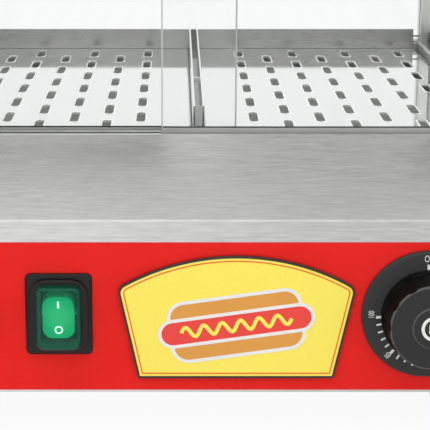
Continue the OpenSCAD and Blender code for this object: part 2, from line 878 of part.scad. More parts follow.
module thermostat_shaft() {
    shaft_l = shaft_root_y - shaft_tip_y;
    color(steel) facing_front(dial_x, shaft_root_y, dial_z) difference() {
        cylinder(d = shaft_d, h = shaft_l);
        translate([-shaft_d, shaft_d / 2 - shaft_flat, shaft_l - shaft_flat_l])
            cube([2 * shaft_d, shaft_d, shaft_flat_l + over]);
    }
}

knob_skirt_h = 3;
knob_wall = 2.2;
knob_hub_d = 12;
knob_boss_d = 19.2;
knob_boss_h = 0.6;
knob_edge = 0.8;
knob_foot_y = bezel_face_y - knob_gap;

// Scalloped cap on a plain round skirt, hollow over the nut, with a hub bored for the flat shaft
module thermostat_knob() {
    foot_r = knob_d / 2;
    face_r = knob_face_d / 2;
    lobe_r = foot_r * sin(180 / knob_lobes) * 1.5;
    hub_top = knob_foot_y - shaft_tip_y;
    color(black_plastic) facing_front(dial_x, knob_foot_y, dial_z) difference() {
        rotate_extrude() polygon([
            [0, 0], [foot_r, 0], [foot_r, knob_skirt_h], [foot_r - knob_edge, knob_skirt_h + knob_edge],
            [face_r, knob_h - knob_edge], [face_r - knob_edge, knob_h], [knob_boss_d / 2, knob_h],
            [knob_boss_d / 2 - knob_boss_h, knob_h + knob_boss_h], [0, knob_h + knob_boss_h]
        ]);
        for (i = [0:knob_lobes - 1]) rotate(i * 360 / knob_lobes)
            translate([foot_r + lobe_r - knob_lobe_depth, 0, knob_skirt_h + knob_edge])
                rotate([0, -atan((foot_r - face_r) / knob_h), 0]) cylinder(r = lobe_r, h = 2 * knob_h);
        difference() {
            translate([0, 0, -over])
                cylinder(r = face_r - knob_wall - knob_lobe_depth, h = knob_h - knob_top + over);
            translate([0, 0, nut_t + 1]) cylinder(d = knob_hub_d, h = knob_h);
        }
        difference() {
            translate([0, 0, -over]) cylinder(d = shaft_d + shaft_gap, h = hub_top + shaft_gap + over);
            translate([-shaft_d, shaft_d / 2 - shaft_flat + shaft_gap / 2, hub_top - shaft_flat_l + over])
                cube([2 * shaft_d, shaft_d, knob_h]);
        }
    }
}

collar_t = [3.2, 2.2];
collar_r = 8;
collar_edge = 0.8;
frame_t = 2.2;
frame_r = 2.6;
frame_edge = 1.2;
collar_reach = 4.6;
cover_gap = 0.15;
cover_r = 3.4;
cover_edge = 1.2;
switch_body_d = 24;
switch_clip = [6, 2];
switch_tab_pitch = [10, 14];
rocker_well_d = 9;
rocker_pin_d = 3;
rocker_axis_y = front_y + 2;
rocker_room = 0.8;

// Rounded block on the panel whose front edge is bevelled
module bevelled_block(size, r, reach, edge) {
    hull() {
        along_y(-reach + edge, 0) round_rect(size.x, size.y, r);
        along_y(-reach, 0) round_rect(size.x - 2 * edge, size.y - 2 * edge, r - edge);
    }
}

// Plate on the panel with a raised collar round the clear cover
module switch_frame() {
    mouth = [cover_w + 2 * cover_gap, cover_h + 2 * cover_gap];
    color(black_plastic) translate([-switch_x, panel_face_y, dial_z]) difference() {
        union() {
            bevelled_block([switch_w, switch_h], frame_r, frame_t, frame_edge);
            bevelled_block(mouth + 2 * collar_t, collar_r, collar_reach, collar_edge);
        }
        along_y(-collar_reach - over, over) round_rect(mouth.x, mouth.y, cover_r + cover_gap);
    }
}

// Body in the panel's cut-out, open at the front for the rocker and drilled for its pins
module switch_body() {
    body_w = switch_cut.x - 2 * shaft_gap;
    body_h = switch_cut.y - 2 * shaft_gap;
    room = [rocker_w + 2 * rocker_room, rocker_h + 2 * rocker_room + 2];
    color(black_plastic) translate([-switch_x, 0, dial_z]) difference() {
        union() {
            along_y(front_y - panel_t, front_y + switch_body_d)
                square([cover_w - 2 * cover_gap, cover_h - 2 * cover_gap], center = true);
            along_y(front_y + sheet_t, front_y + switch_body_d)
                square([body_w + switch_clip.x, body_h + switch_clip.y], center = true);
            for (x = [-1, 1], z = [-1, 1])
                facing_back(x * switch_tab_pitch.x / 2, front_y + switch_body_d, z * switch_tab_pitch.y / 2)
                    rotate(90) tab_blade();
        }
        along_y(front_y - 2 * panel_t - over, front_y + rocker_well_d) square(room, center = true);
        translate([-cover_w / 2 + cover_gap - over, rocker_axis_y, 0]) rotate([0, 90, 0])
            cylinder(d = rocker_pin_d + 2 * door_run_gap, h = cover_w + 2 * over);
    }
}

rocker_dish = 1.2;
rocker_nose = 7.2;
rocker_root = 3.6;
rocker_r = 4.6;
rocker_edge = 1;

// Rocker in side view: its outline's first axis points at the user
module rocker_outline() {
    half = rocker_h / 2;
    dish_r = (half * half + rocker_dish * rocker_dish) / (2 * rocker_dish);
    difference() {
        polygon([
            [-rocker_root, -half * 0.5], [-rocker_root, half * 0.5], [0, half], [rocker_nose, half],
            [rocker_nose, -half], [0, -half]
        ]);
        translate([rocker_nose + dish_r - rocker_dish, 0]) circle(dish_r, $fn = 128);
    }
}

// Barrel-shaped rocker with a bevelled edge round its dished face, on two pins
module switch_rocker() {
    color([0.05, 0.55, 0.2]) translate([-switch_x, rocker_axis_y, dial_z]) rotate([rocker_tilt, 0, 0]) {
        intersection() {
            along_x(-rocker_w / 2, rocker_w / 2) mirror([1, 0, 0]) rocker_outline();
            translate([0, rocker_root, 0])
                bevelled_block([rocker_w, rocker_h], rocker_r, rocker_root + rocker_nose, rocker_edge);
        }
        translate([-rocker_w / 2 - rocker_room - 1.4, 0, 0]) rotate([0, 90, 0])
            cylinder(d = rocker_pin_d, h = rocker_w + 2 * rocker_room + 2.8);
    }
}

// Clear cap over the rocker, open at the back
module switch_cover() {
    inside = [cover_w - 2 * cover_wall, cover_h - 2 * cover_wall];
    color([0.4, 0.6, 0.5, 0.5]) translate([-switch_x, panel_face_y, dial_z]) difference() {
        bevelled_block([cover_w, cover_h], cover_r, cover_reach, cover_edge);
        along_y(cover_wall - cover_reach, over) round_rect(inside.x, inside.y, cover_r - cover_wall);
    }
}

lamp_bezel_t = 3;
lamp_lens_d = 13;

module lamp_bezel() {
    color("silver") facing_front(-lamp_x, panel_face_y, dial_z) rotate_extrude() polygon([
        [lamp_lens_d / 2 + cover_gap, 0], [lamp_d / 2, 0], [lamp_d / 2, lamp_bezel_t - 1],
        [lamp_d / 2 - 1, lamp_bezel_t], [lamp_lens_d / 2 + cover_gap, lamp_bezel_t]
    ]);
}

module lamp_lens() {
    dome = 4;
    r = lamp_lens_d / 2;
    dome_r = (r * r + dome * dome) / (2 * dome);
    color([0.9, 0.55, 0.1]) facing_front(-lamp_x, panel_face_y, dial_z) intersection() {
        cylinder(r = r, h = lamp_bezel_t + dome);
        translate([0, 0, lamp_bezel_t + dome - dome_r]) sphere(dome_r);
    }
}

module lamp_body() {
    nut = [18, 4];
    stem_d = lamp_hole_d - 2 * shaft_gap;
    stem_l = 26;
    tab_pitch = 6;
    color(black_plastic) facing_back(-lamp_x, panel_face_y, dial_z) {
        cylinder(d = stem_d, h = stem_l);
        translate([0, 0, panel_t + sheet_t]) cylinder(d = nut.x, h = nut.y, $fn = hex_fn);
        for (x = [-1, 1]) translate([x * tab_pitch / 2, 0, stem_l]) tab_blade();
    }
}

// Door tracks and the glass cabinet

track_front_rise = 0.4;
track_rear_drop = 1.8;

module lower_door_track() {
    color("darkgray") along_x(-track_half, track_half) polygon([
        [track_y + bend_r - sheet_t, shelf_z], [track_y, shelf_z + bend_r - sheet_t],
        [track_y, shelf_z + track_rib_h + track_front_rise],
        [front_groove_y, shelf_z + track_rib_h + track_front_rise],
        [front_groove_y, shelf_z + track_floor_front],
        [front_groove_y + groove_run, shelf_z + track_floor_front],
        [front_groove_y + groove_run, shelf_z + track_rib_h], [rear_groove_y, shelf_z + track_rib_h],
        [rear_groove_y, shelf_z + track_floor_rear],
        [rear_groove_y + groove_run, shelf_z + track_floor_rear],
        [rear_groove_y + groove_run, shelf_z + track_rib_h - track_rear_drop],
        [track_back_y, shelf_z + track_rib_h - track_rear_drop], [track_back_y, shelf_z]
    ]);
}

module upper_door_track() {
    rib_gap = door_pitch - groove_run;
    color("darkgray") along_x(-track_half, track_half) difference() {
        translate([track_y, roof_z - top_track_h]) square([track_back_y - track_y, top_track_h]);
        for (y = [front_groove_y, rear_groove_y])
            translate([y, roof_z - top_track_h - over])
                square([groove_run, top_track_h - track_wall + over]);
        translate([front_groove_y + groove_run + track_wall, roof_z - top_track_h - over])
            square([rib_gap - 2 * track_wall, top_track_h - track_wall + over]);
    }
}

// Post section in plan for the left side, its outer corner rounded towards the front or back
module post_section(y, outer) {
    corner = [-half_w + post_r, outer > 0 ? y + post_w - post_r : y + post_r];
    translate([-half_w + post_r, y]) square([post_w - post_r, post_w]);
    translate([-half_w, outer > 0 ? y : y + post_r]) square([post_w, post_w - post_r]);
    translate(corner) circle(post_r);
}

module front_post() {
    bore_y = post_front_y + post_bore_inset;
    translate([0, 0, shelf_z]) linear_extrude(roof_z - shelf_z) difference() {
        post_section(post_front_y, -1);
        translate([-side_glass_x - groove_w / 2, post_front_y + post_w - groove_d])
            square([groove_w, groove_d + over]);
        translate([-half_w + post_bore_inset, bore_y]) circle(d = post_bore);
    }
}

module rear_post() {
    bore_y = rear_y - post_bore_inset;
    translate([0, 0, deck_z]) linear_extrude(roof_z - deck_z) difference() {
        post_section(post_back_y, 1);
        translate([-side_glass_x - groove_w / 2, post_back_y - over]) square([groove_w, groove_d + over]);
        translate([-post_in_x - groove_d, rear_glass_y - glass_gap]) square([groove_d + over, groove_w]);
        translate([-half_w + post_bore_inset, bore_y]) circle(d = post_bore);
    }
}

module front_left_post() {
    color(steel) front_post();
}

module front_right_post() {
    color(steel) mirror([1, 0, 0]) front_post();
}

module rear_left_post() {
    color(steel) rear_post();
}

module rear_right_post() {
    color(steel) mirror([1, 0, 0]) rear_post();
}

glass_top = roof_z - 2 * glass_gap;

module side_glass() {
    front = post_front_y + post_w - groove_d + glass_gap;
    back = post_back_y + groove_d - glass_gap;
    block([-side_glass_x - glass_t / 2, front, deck_z + seal_floor],
          [-side_glass_x + glass_t / 2, back, glass_top]);
}

module left_side_glass() {
    color(glass_clear) side_glass();
}

module right_side_glass() {
    color(glass_clear) mirror([1, 0, 0]) side_glass();
}

module rear_glass() {
    half = post_in_x + groove_d - glass_gap;
    color(glass_clear) block([-half, rear_glass_y, deck_z + sheet_t + seal_floor],
                             [half, rear_glass_y + glass_t, glass_top]);
}

rail_half = post_in_x - rail_end_gap;
rail_front_y = rim_y - sheet_t - 0.1;
rail_back_y = rear_glass_y + glass_t + seal_t;
rail_foot_gap = 0.6;

// Channel that stands on the deck, with its front wall drawn down over the deck's lip
module rear_glass_rail() {
    color(steel) along_x(-rail_half, rail_half) {
        translate([rail_front_y, tray_z + rail_foot_gap])
            square([sheet_t, rail_h + tray_drop - rail_foot_gap]);
        translate([rail_front_y, deck_z]) square([rail_back_y - rail_front_y + sheet_t, sheet_t]);
        translate([rail_back_y, deck_z]) square([sheet_t, seal_h + sheet_t]);
    }
}

module glazing_channel() {
    difference() {
        translate([-glass_t / 2 - seal_t, 0]) square([glass_t + 2 * seal_t, seal_h]);
        translate([-glass_t / 2, seal_floor]) square([glass_t, seal_h]);
    }
}

module glass_seals() {
    color(rubber) {
        mirrored_pair() along_y(shelf_y, post_back_y)
            translate([-side_glass_x, deck_z]) glazing_channel();
        along_x(-rail_half, rail_half) translate([rear_glass_y + glass_t / 2, deck_z + sheet_t])
            glazing_channel();
    }
}

roof_front_y = post_front_y - roof_overhang;
ceiling_gap = 0.3;
ceiling_rim = 10;

module roof_bore_places() {
    for (x = [-1, 1], y = [post_front_y + post_bore_inset, rear_y - post_bore_inset])
        translate([x * (half_w - post_bore_inset), y, 0]) children();
}

// Tray under the roof with upturned sides, its corners rounded to lie inside the roof's corners
module ceiling_panel() {
    side = half_w - sheet_t - ceiling_gap;
    clear = sheet_t + ceiling_gap / 2;
    inside = [half_w - clear, roof_front_y + clear, rear_y - clear];
    color(steel) difference() {
        intersection() {
            along_y(roof_front_y, rear_y) sheet([
                [side, roof_z + ceiling_rim], [side, roof_z], [-side, roof_z], [-side, roof_z + ceiling_rim]
            ]);
            linear_extrude(2 * total_h) plan(inside, roof_corner_r - clear);
        }
        roof_bore_places() cylinder(d = post_bore + 2 * bush_gap, h = 2 * total_h);
    }
}

// Roof edge section, measured outward from the corner circle's centre
module roof_edge() {
    r = roof_edge_r;
    t = sheet_t;
    outer = arc([roof_corner_r - r, roof_h - r], r, 0, 90, 10);
    inner = arc([roof_corner_r - r, roof_h - r], r - t, 90, -90, 10);
    polygon(concat([[roof_corner_r, 0]], outer, [[0, roof_h], [0, roof_h - t]], inner,
                   [[roof_corner_r - t, 0]]));
}

// Pressed cap: a flat top, four rolled edges and four rolled corners
module roof_panel() {
    mid_y = (roof_front_y + rear_y) / 2;
    half_d = (rear_y - roof_front_y) / 2 - roof_corner_r;
    half_x = half_w - roof_corner_r;
    color(steel) translate([0, mid_y, roof_z]) difference() {
        union() {
            translate([-half_x, -half_d, roof_h - sheet_t]) cube([2 * half_x, 2 * half_d, sheet_t]);
            for (a = [0, 180]) rotate(a) {
                translate([half_x, 0, 0]) along_y(-half_d, half_d) roof_edge();
                translate([0, half_d, 0]) along_x(-half_x, half_x) roof_edge();
                translate([half_x, half_d, 0]) rotate_extrude(angle = 90) roof_edge();
                translate([-half_x, half_d, 0]) rotate(90) rotate_extrude(angle = 90) roof_edge();
            }
        }
        translate([0, -mid_y, -over]) roof_bore_places()
            cylinder(d = post_bore + 2 * bush_gap, h = 2 * roof_h);
    }
}

roof_screw_l = 30;

module roof_screws() {
    color(steel) roof_bore_places() translate([0, 0, total_h]) rotate([180, 0, 0])
        pan_screw(post_bore - 2 * shaft_gap, roof_screw_l);
}

// Sliding doors: each is a pane in a steel shoe, with a slim pull on its front face

module door_pane(x, y, floor_t) {
    bottom = shelf_z + floor_t + door_run_gap + shoe_t;
    block([x, y, bottom], [x + door_w, y + glass_t, door_top]);
}

module door_shoe(x, y, floor_t) {
    bottom = shelf_z + floor_t + door_run_gap;
    along_x(x, x + door_w) translate([y - shoe_t, bottom]) difference() {
        square([shoe_w, shoe_h]);
        translate([shoe_t, shoe_t]) square([glass_t, shoe_h]);
    }
}

pull_grip_r = 3;
pull_dish = 1.4;

// Low round-ended grip, dished down its middle for a fingertip
module door_pull(x, y) {
    dish_r = (pull_w * pull_w / 16 + pull_dish * pull_dish) / (2 * pull_dish);
    translate([x, 0, pull_z]) difference() {
        along_y(y - pull_t, y) round_rect(pull_w, pull_h, pull_grip_r);
        translate([0, y - pull_t - dish_r + pull_dish, 0])
            cylinder(r = dish_r, h = pull_h - 4 * pull_grip_r, center = true);
    }
}

module left_door_glass() {
    color(glass_clear) door_pane(-door_out_x, rear_pane_y, track_floor_rear);
}

module left_door_shoe() {
    color(steel) door_shoe(-door_out_x, rear_pane_y, track_floor_rear);
}

module left_door_pull() {
    color(black_plastic) door_pull(-door_out_x + pull_inset, rear_pane_y);
}

module right_door_glass() {
    color(glass_clear) door_pane(door_out_x - door_w, front_pane_y, track_floor_front);
}

module right_door_shoe() {
    color(steel) door_shoe(door_out_x - door_w, front_pane_y, track_floor_front);
}

module right_door_pull() {
    color(black_plastic) door_pull(door_out_x - pull_inset, front_pane_y);
}

// Power inlet and drain tap on the rear panel

inlet_flange = [33, 26];
inlet_flange_t = 3;
inlet_depth = 20;
inlet_cavity = [24.4, 16.8];
inlet_cavity_d = 16;
inlet_chamfer = 4;
pin = [2, 4];
pin_l = 13;
pin_spread = 7;

// Socket outline with its two upper corners cut off
module inlet_mouth() {
    w = inlet_cavity.x / 2;
    h = inlet_cavity.y / 2;
    polygon([
        [-w, -h], [w, -h], [w, h - inlet_chamfer], [w - inlet_chamfer, h], [inlet_chamfer - w, h],
        [-w, h - inlet_chamfer]
    ]);
}

module power_inlet() {
    color(black_plastic) translate([inlet_x, 0, inlet_axis_z]) difference() {
        union() {
            along_y(rear_y, rear_y + inlet_flange_t) round_rect(inlet_flange.x, inlet_flange.y, 3);
            along_y(rear_y - inlet_depth, rear_y) square(inlet_body - [seam, seam], center = true);
        }
        along_y(rear_y + inlet_flange_t - inlet_cavity_d, rear_y + inlet_flange_t + over) inlet_mouth();
    }
}

module inlet_pins() {
    root_y = rear_y + inlet_flange_t - inlet_cavity_d;
    color(steel) translate([inlet_x, 0, inlet_axis_z]) {
        for (x = [-1, 0, 1]) translate([x * pin_spread, 0, x == 0 ? 1 : -3])
            along_y(root_y, root_y + pin_l) square(pin, center = true);
    }
}

barrel_d = 16;
barrel_h = 30;
barrel_y = rear_y + tap_reach - barrel_d / 2;
barrel_z = tap_axis_z - barrel_h / 2;
tail_h = 12;
tail_bore = 5;
tail_barb = 0.9;
tail_barbs = 3;
plug_d = 8;
plug_gap = 0.3;
plug_floor = 4;
tap_hex_d = 22;
tap_hex_t = 5;
water_way_d = tail_d - 2;

// Barbed spigot that points down
module hose_tail() {
    neck_r = tail_d / 2 - tail_barb;
    pitch = tail_h / tail_barbs;
    barbs = [for (i = [0:tail_barbs - 1]) each [[neck_r, i * pitch], [tail_d / 2, (i + 0.7) * pitch],
                                               [neck_r, (i + 0.75) * pitch]]];
    rotate_extrude() polygon(concat([[0, 0]], barbs, [[neck_r, tail_h + over], [0, tail_h + over]]));
}

// Pipe from the tank's back wall to an upright barrel with a hose tail below
module drain_tap() {
    color(brass) difference() {
        union() {
            facing_back(-tap_x, sump_rear_y, tap_axis_z)
                cylinder(d = tap_pipe_d, h = barrel_y - sump_rear_y);
            facing_back(-tap_x, sump_rear_y, tap_axis_z) cylinder(d = tap_hex_d, h = tap_hex_t, $fn = hex_fn);
            translate([-tap_x, barrel_y, barrel_z]) cylinder(d = barrel_d, h = barrel_h);
            translate([-tap_x, barrel_y, barrel_z - tail_h]) hose_tail();
        }
        facing_back(-tap_x, sump_rear_y - over, tap_axis_z)
            cylinder(d = water_way_d, h = barrel_y - sump_rear_y + over);
        translate([-tap_x, barrel_y, barrel_z + plug_floor])
            cylinder(d = plug_d + 2 * plug_gap, h = barrel_h);
        translate([-tap_x, barrel_y, barrel_z - tail_h - over])
            cylinder(d = tail_bore, h = tail_h + plug_floor + 2 * over);
    }
}

lever_l = 36;
lever_w = 9;
lever_t = 5;
lever_hub_d = 15;

// Plug that turns in the barrel, ported from one side to its foot, with a flat lever on top
module drain_lever() {
    top_z = barrel_z + barrel_h + plug_gap;
    plug_z = barrel_z + plug_floor + plug_gap;
    color([0.75, 0.1, 0.1]) translate([-tap_x, barrel_y, 0]) {
        difference() {
            translate([0, 0, plug_z]) cylinder(d = plug_d, h = top_z - plug_z + over);
            translate([0, 0, plug_z - over]) cylinder(d = tail_bore, h = tap_axis_z - plug_z + over);
            translate([0, 0, tap_axis_z]) rotate([0, -90, 0]) cylinder(d = tail_bore, h = plug_d);
        }
        translate([0, 0, top_z]) cylinder(d = lever_hub_d, h = lever_t + 2);
        translate([0, -lever_w / 2, top_z]) cube([lever_l - lever_w / 2, lever_w, lever_t]);
        translate([lever_l - lever_w / 2, 0, top_z]) cylinder(d = lever_w, h = lever_t);
    }
}

front_fascia();
left_side_panel();
right_side_panel();
rear_panel();
bottom_plate();
feet();
foot_screws();
panel_screws();
tank_rim();
water_tank();
tray_crossbar();
tray_divider();
left_tray();
right_tray();
heating_element();
element_fittings();
level_probe();
overheat_cutout();
terminal_block();
red_panel();
sign_plate();
dial_bezel();
bezel_nut();
thermostat_body();
thermostat_bulb();
bulb_gland();
thermostat_shaft();
thermostat_knob();
switch_frame();
switch_body();
switch_rocker();
switch_cover();
lamp_bezel();
lamp_lens();
lamp_body();
lower_door_track();
upper_door_track();
front_left_post();
front_right_post();
rear_left_post();
rear_right_post();
left_side_glass();
right_side_glass();
rear_glass();
rear_glass_rail();
glass_seals();
ceiling_panel();
roof_panel();
roof_screws();
left_door_glass();
left_door_shoe();
left_door_pull();
right_door_glass();
right_door_shoe();
right_door_pull();
power_inlet();
inlet_pins();
drain_tap();
drain_lever();
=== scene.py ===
import math

import bmesh
import bpy
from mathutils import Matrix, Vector, geometry
from mathutils.bvhtree import BVHTree


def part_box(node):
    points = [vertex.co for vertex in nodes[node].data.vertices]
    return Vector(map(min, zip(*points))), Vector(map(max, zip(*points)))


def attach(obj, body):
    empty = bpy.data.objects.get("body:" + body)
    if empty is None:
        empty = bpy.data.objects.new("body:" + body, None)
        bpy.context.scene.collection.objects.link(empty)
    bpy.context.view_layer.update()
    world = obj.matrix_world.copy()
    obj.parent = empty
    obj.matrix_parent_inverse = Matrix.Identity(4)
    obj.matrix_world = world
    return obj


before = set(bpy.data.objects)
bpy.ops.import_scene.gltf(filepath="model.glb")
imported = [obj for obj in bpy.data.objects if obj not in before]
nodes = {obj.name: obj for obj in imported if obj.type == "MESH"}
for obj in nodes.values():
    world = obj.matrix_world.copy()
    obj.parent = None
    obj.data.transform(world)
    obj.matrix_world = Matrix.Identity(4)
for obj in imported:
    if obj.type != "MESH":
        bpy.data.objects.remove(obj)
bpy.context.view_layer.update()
scene = bpy.context.scene
scene.view_settings.view_transform = "Standard"

# Camera: it stands before the steamer at about door height and looks slightly down on the trays.
# The lens is long, so the front stays square on, and its frame is shifted to the right.
picture_pixels = 430
focal_pixels = 1600
axis_pixel = 177
look_down = math.radians(14.74)
camera_stand = (-0.0104, -0.8695, 0.284)
camera_data = bpy.data.cameras.new("camera")
camera_data.lens = focal_pixels / picture_pixels * camera_data.sensor_width
camera_data.shift_x = 0.5 - axis_pixel / picture_pixels
camera = bpy.data.objects.new("camera", camera_data)
camera.location = camera_stand
camera.rotation_euler = (math.pi / 2 - look_down, 0, 0)
scene.collection.objects.link(camera)
scene.camera = camera

# Feet: four tapered rubber bumpers, each held by one screw up through its middle.
# Moulded black rubber with a dull, slightly dusty skin.


def shader_of(material):
    """The shader that makes up a material's surface."""
    return material.node_tree.nodes["Principled BSDF"]


def new_finish(name, colour, roughness, metallic=0.0):
    """A new material and its shader, with the plain values on the shader's own sockets."""
    material = bpy.data.materials.new(name)
    material.use_nodes = True
    shader = shader_of(material)
    shader.inputs["Base Color"].default_value = (*colour, 1)
    shader.inputs["Roughness"].default_value = roughness
    shader.inputs["Metallic"].default_value = metallic
    return material, shader


def grain(material, per_metre, detail=3.0):
    """Noise in the object's own metres, with its own fineness along each axis."""
    tree = material.node_tree
    place = tree.nodes.new("ShaderNodeTexCoord")
    stretch = tree.nodes.new("ShaderNodeMapping")
    noise = tree.nodes.new("ShaderNodeTexNoise")
    stretch.inputs["Scale"].default_value = per_metre
    noise.inputs["Scale"].default_value = 1
    noise.inputs["Detail"].default_value = detail
    tree.links.new(place.outputs["Object"], stretch.inputs["Vector"])
    tree.links.new(stretch.outputs["Vector"], noise.inputs["Vector"])
    return noise.outputs["Fac"]


# Noise hardly ever leaves these limits, so a pattern's whole swing is taken between them.
swing_low = 0.3
swing_high = 0.7


def vary_number(material, pattern, socket, low, high):
    """Lets a pattern move a shader's number between two limits."""
    tree = material.node_tree
    limits = tree.nodes.new("ShaderNodeMapRange")
    limits.inputs["From Min"].default_value = swing_low
    limits.inputs["From Max"].default_value = swing_high
    limits.inputs["To Min"].default_value = low
    limits.inputs["To Max"].default_value = high
    tree.links.new(pattern, limits.inputs["Value"])
    tree.links.new(limits.outputs["Result"], socket)


def vary_colour(material, pattern, socket, first, second):
    """Lets a pattern move a shader's colour between two tones."""
    tree = material.node_tree
    ramp = tree.nodes.new("ShaderNodeValToRGB")
    ramp.color_ramp.elements[0].position = swing_low
    ramp.color_ramp.elements[1].position = swing_high
    ramp.color_ramp.elements[0].color = (*first, 1)
    ramp.color_ramp.elements[1].color = (*second, 1)
    tree.links.new(pattern, ramp.inputs["Fac"])
    tree.links.new(ramp.outputs["Color"], socket)


def raise_grain(material, shader, pattern, height):
    """Bump of a given height in metres."""
    tree = material.node_tree
    bump = tree.nodes.new("ShaderNodeBump")
    bump.inputs["Distance"].default_value = height
    bump.inputs["Strength"].default_value = 1
    tree.links.new(pattern, bump.inputs["Height"])
    tree.links.new(bump.outputs["Normal"], shader.inputs["Normal"])


def toned(colour, factor):
    """The same colour, lighter or darker."""
    return tuple(channel * factor for channel in colour)


def moulded(name, colour, roughness, fineness=2500, height=0.00004, gloss=0.35):
    """Moulded plastic or rubber: a fine even texture and a faint cloudiness."""
    material, shader = new_finish(name, colour, roughness)
    shader.inputs["Specular IOR Level"].default_value = gloss
    fine = grain(material, (fineness,) * 3)
    broad = grain(material, (40,) * 3)
    cloud = toned(colour, 0.96), toned(colour, 1.04)
    vary_colour(material, broad, shader.inputs["Base Color"], *cloud)
    vary_number(material, fine, shader.inputs["Roughness"], roughness - 0.05, roughness + 0.05)
    raise_grain(material, shader, fine, height)
    return material


def dress(material, *names):
    """Gives CAD nodes their finish."""
    for name in names:
        nodes[name].data.materials.clear()
        nodes[name].data.materials.append(material)


rubber = moulded("rubber", (0.02, 0.02, 0.021), 0.75, 900, 0.0001)
dress(rubber, "feet")

# Base: folded sheets for the front, sides, back and bottom, meeting at the corners.
# Stainless steel with fine brush marks, along the width in front and along the depth at the sides.
# The front has a painted sheen that falls off slowly from left to right.


def colour_mix(material, blend="MIX"):
    """A node that lays one colour over another."""
    mix = material.node_tree.nodes.new("ShaderNodeMix")
    mix.data_type = "RGBA"
    mix.blend_type = blend
    mix.inputs["Factor"].default_value = 1
    return mix


def brushed_steel(name, along, tone, roughness=0.34, painted_sheen=0.1):
    """Stainless steel with fine scratches along one axis and soft bands of painted sheen across
    them.
    """
    colour = (tone, tone, tone * 0.985)
    material, shader = new_finish(name, colour, roughness, 1.0)
    patterns = []
    for across, lengthways, detail in ((1100, 90, 4), (70, 3, 2), (0.4, 6, 1)):
        per_metre = [across] * 3
        per_metre[along] = lengthways
        patterns.append(grain(material, per_metre, detail))
    scratch, broad, sheen_bands = patterns
    both = colour_mix(material, "MULTIPLY")
    both.name = "painted_sheen"
    vary_colour(material, scratch, both.inputs["A"], toned(colour, 0.91), toned(colour, 1.09))
    # painted sheen: soft lighter and darker bands along the brushing stand in for reflections
    vary_colour(material, sheen_bands, both.inputs["B"], (1 - painted_sheen,) * 3, (1 + painted_sheen,) * 3)
    material.node_tree.links.new(both.outputs["Result"], shader.inputs["Base Color"])
    vary_number(material, broad, shader.inputs["Roughness"], roughness - 0.05, roughness + 0.05)
    raise_grain(material, shader, scratch, 0.00002)
    return material


def away_from(material, axis, plane, near, far):
    """A mask that rises from zero to one between two distances from a plane across an axis."""
    tree = material.node_tree
    place = tree.nodes.new("ShaderNodeTexCoord")
    split = tree.nodes.new("ShaderNodeSeparateXYZ")
    distance = tree.nodes.new("ShaderNodeMath")
    distance.operation = "SUBTRACT"
    distance.inputs[1].default_value = plane
    size = tree.nodes.new("ShaderNodeMath")
    size.operation = "ABSOLUTE"
    rise = tree.nodes.new("ShaderNodeMapRange")
    rise.inputs["From Min"].default_value = near
    rise.inputs["From Max"].default_value = far
    tree.links.new(place.outputs["Object"], split.inputs["Vector"])
    tree.links.new(split.outputs[axis], distance.inputs[0])
    tree.links.new(distance.outputs[0], size.inputs[0])
    tree.links.new(size.outputs[0], rise.inputs["Value"])
    return rise.outputs["Result"]


X, Y, Z = range(3)
front_steel = brushed_steel("front_steel", X, 0.65, 0.3, 0.02)
front_low, front_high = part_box("front_fascia")
# painted sheen: the front's colour goes from lighter at the left to darker at the right
painted_sheen_fall = away_from(front_steel, X, front_low.x, 0, front_high.x - front_low.x)
front_sheen = front_steel.node_tree.nodes["painted_sheen"].inputs["B"]
vary_colour(front_steel, painted_sheen_fall, front_sheen, (1.06,) * 3, (0.84,) * 3)
side_steel = brushed_steel("side_steel", Y, 0.44, 0.34, 0.16)
rear_steel = brushed_steel("rear_steel", X, 0.46, 0.34, 0.16)
dress(front_steel, "front_fascia")
dress(rear_steel, "rear_panel")
dress(side_steel, "left_side_panel", "right_side_panel", "bottom_plate")

# Screws: pan heads with a cross recess, under the feet, in the rear panel and on the roof.
# Zinc-plated steel; each head is turned, then the cross is driven in.
zinc, zinc_shader = new_finish("zinc", (0.55, 0.55, 0.54), 0.3, 1.0)
zinc_cloud = grain(zinc, (900,) * 3)
zinc_tones = (0.46, 0.46, 0.45), (0.62, 0.62, 0.6)
vary_colour(zinc, zinc_cloud, zinc_shader.inputs["Base Color"], *zinc_tones)
vary_number(zinc, zinc_cloud, zinc_shader.inputs["Roughness"], 0.24, 0.42)
dress(zinc, "foot_screws", "panel_screws", "roof_screws")

# Tank: a deep drawn pan with a ledge for the trays and a flange under the deck.
# Plain stainless steel; the pan has a pale film of lime and a faint painted glow that lightens it.
# The crossbar lies across it from ledge to ledge.
tank_steel = brushed_steel("tank_steel", X, 0.55, 0.35)
lime_and_glow_steel = brushed_steel("lime_and_glow_steel", X, 0.86, 0.5, 0.04)
lime_and_glow_shader = shader_of(lime_and_glow_steel)
lime_and_glow_shader.inputs["Metallic"].default_value = 0.15
# painted glow: the pan gives off a faint white light of its own
lime_and_glow_shader.inputs["Emission Color"].default_value = (1, 1, 1, 1)
lime_and_glow_shader.inputs["Emission Strength"].default_value = 0.05
dress(tank_steel, "tank_rim", "tray_crossbar")
dress(lime_and_glow_steel, "water_tank")

# Heater: a tube bent into hairpins, with brass fittings through the tank's front wall.
# The tube is dark from heat; the thermostat's copper bulb and the level probe lie above it.
hot_tube, hot_tube_shader = new_finish("hot_tube", (0.2, 0.19, 0.18), 0.45, 1.0)
scale_marks = grain(hot_tube, (160,) * 3)
scale_tones = (0.14, 0.12, 0.11), (0.3, 0.29, 0.28)
vary_colour(hot_tube, scale_marks, hot_tube_shader.inputs["Base Color"], *scale_tones)
vary_number(hot_tube, scale_marks, hot_tube_shader.inputs["Roughness"], 0.35, 0.6)
dress(hot_tube, "heating_element")


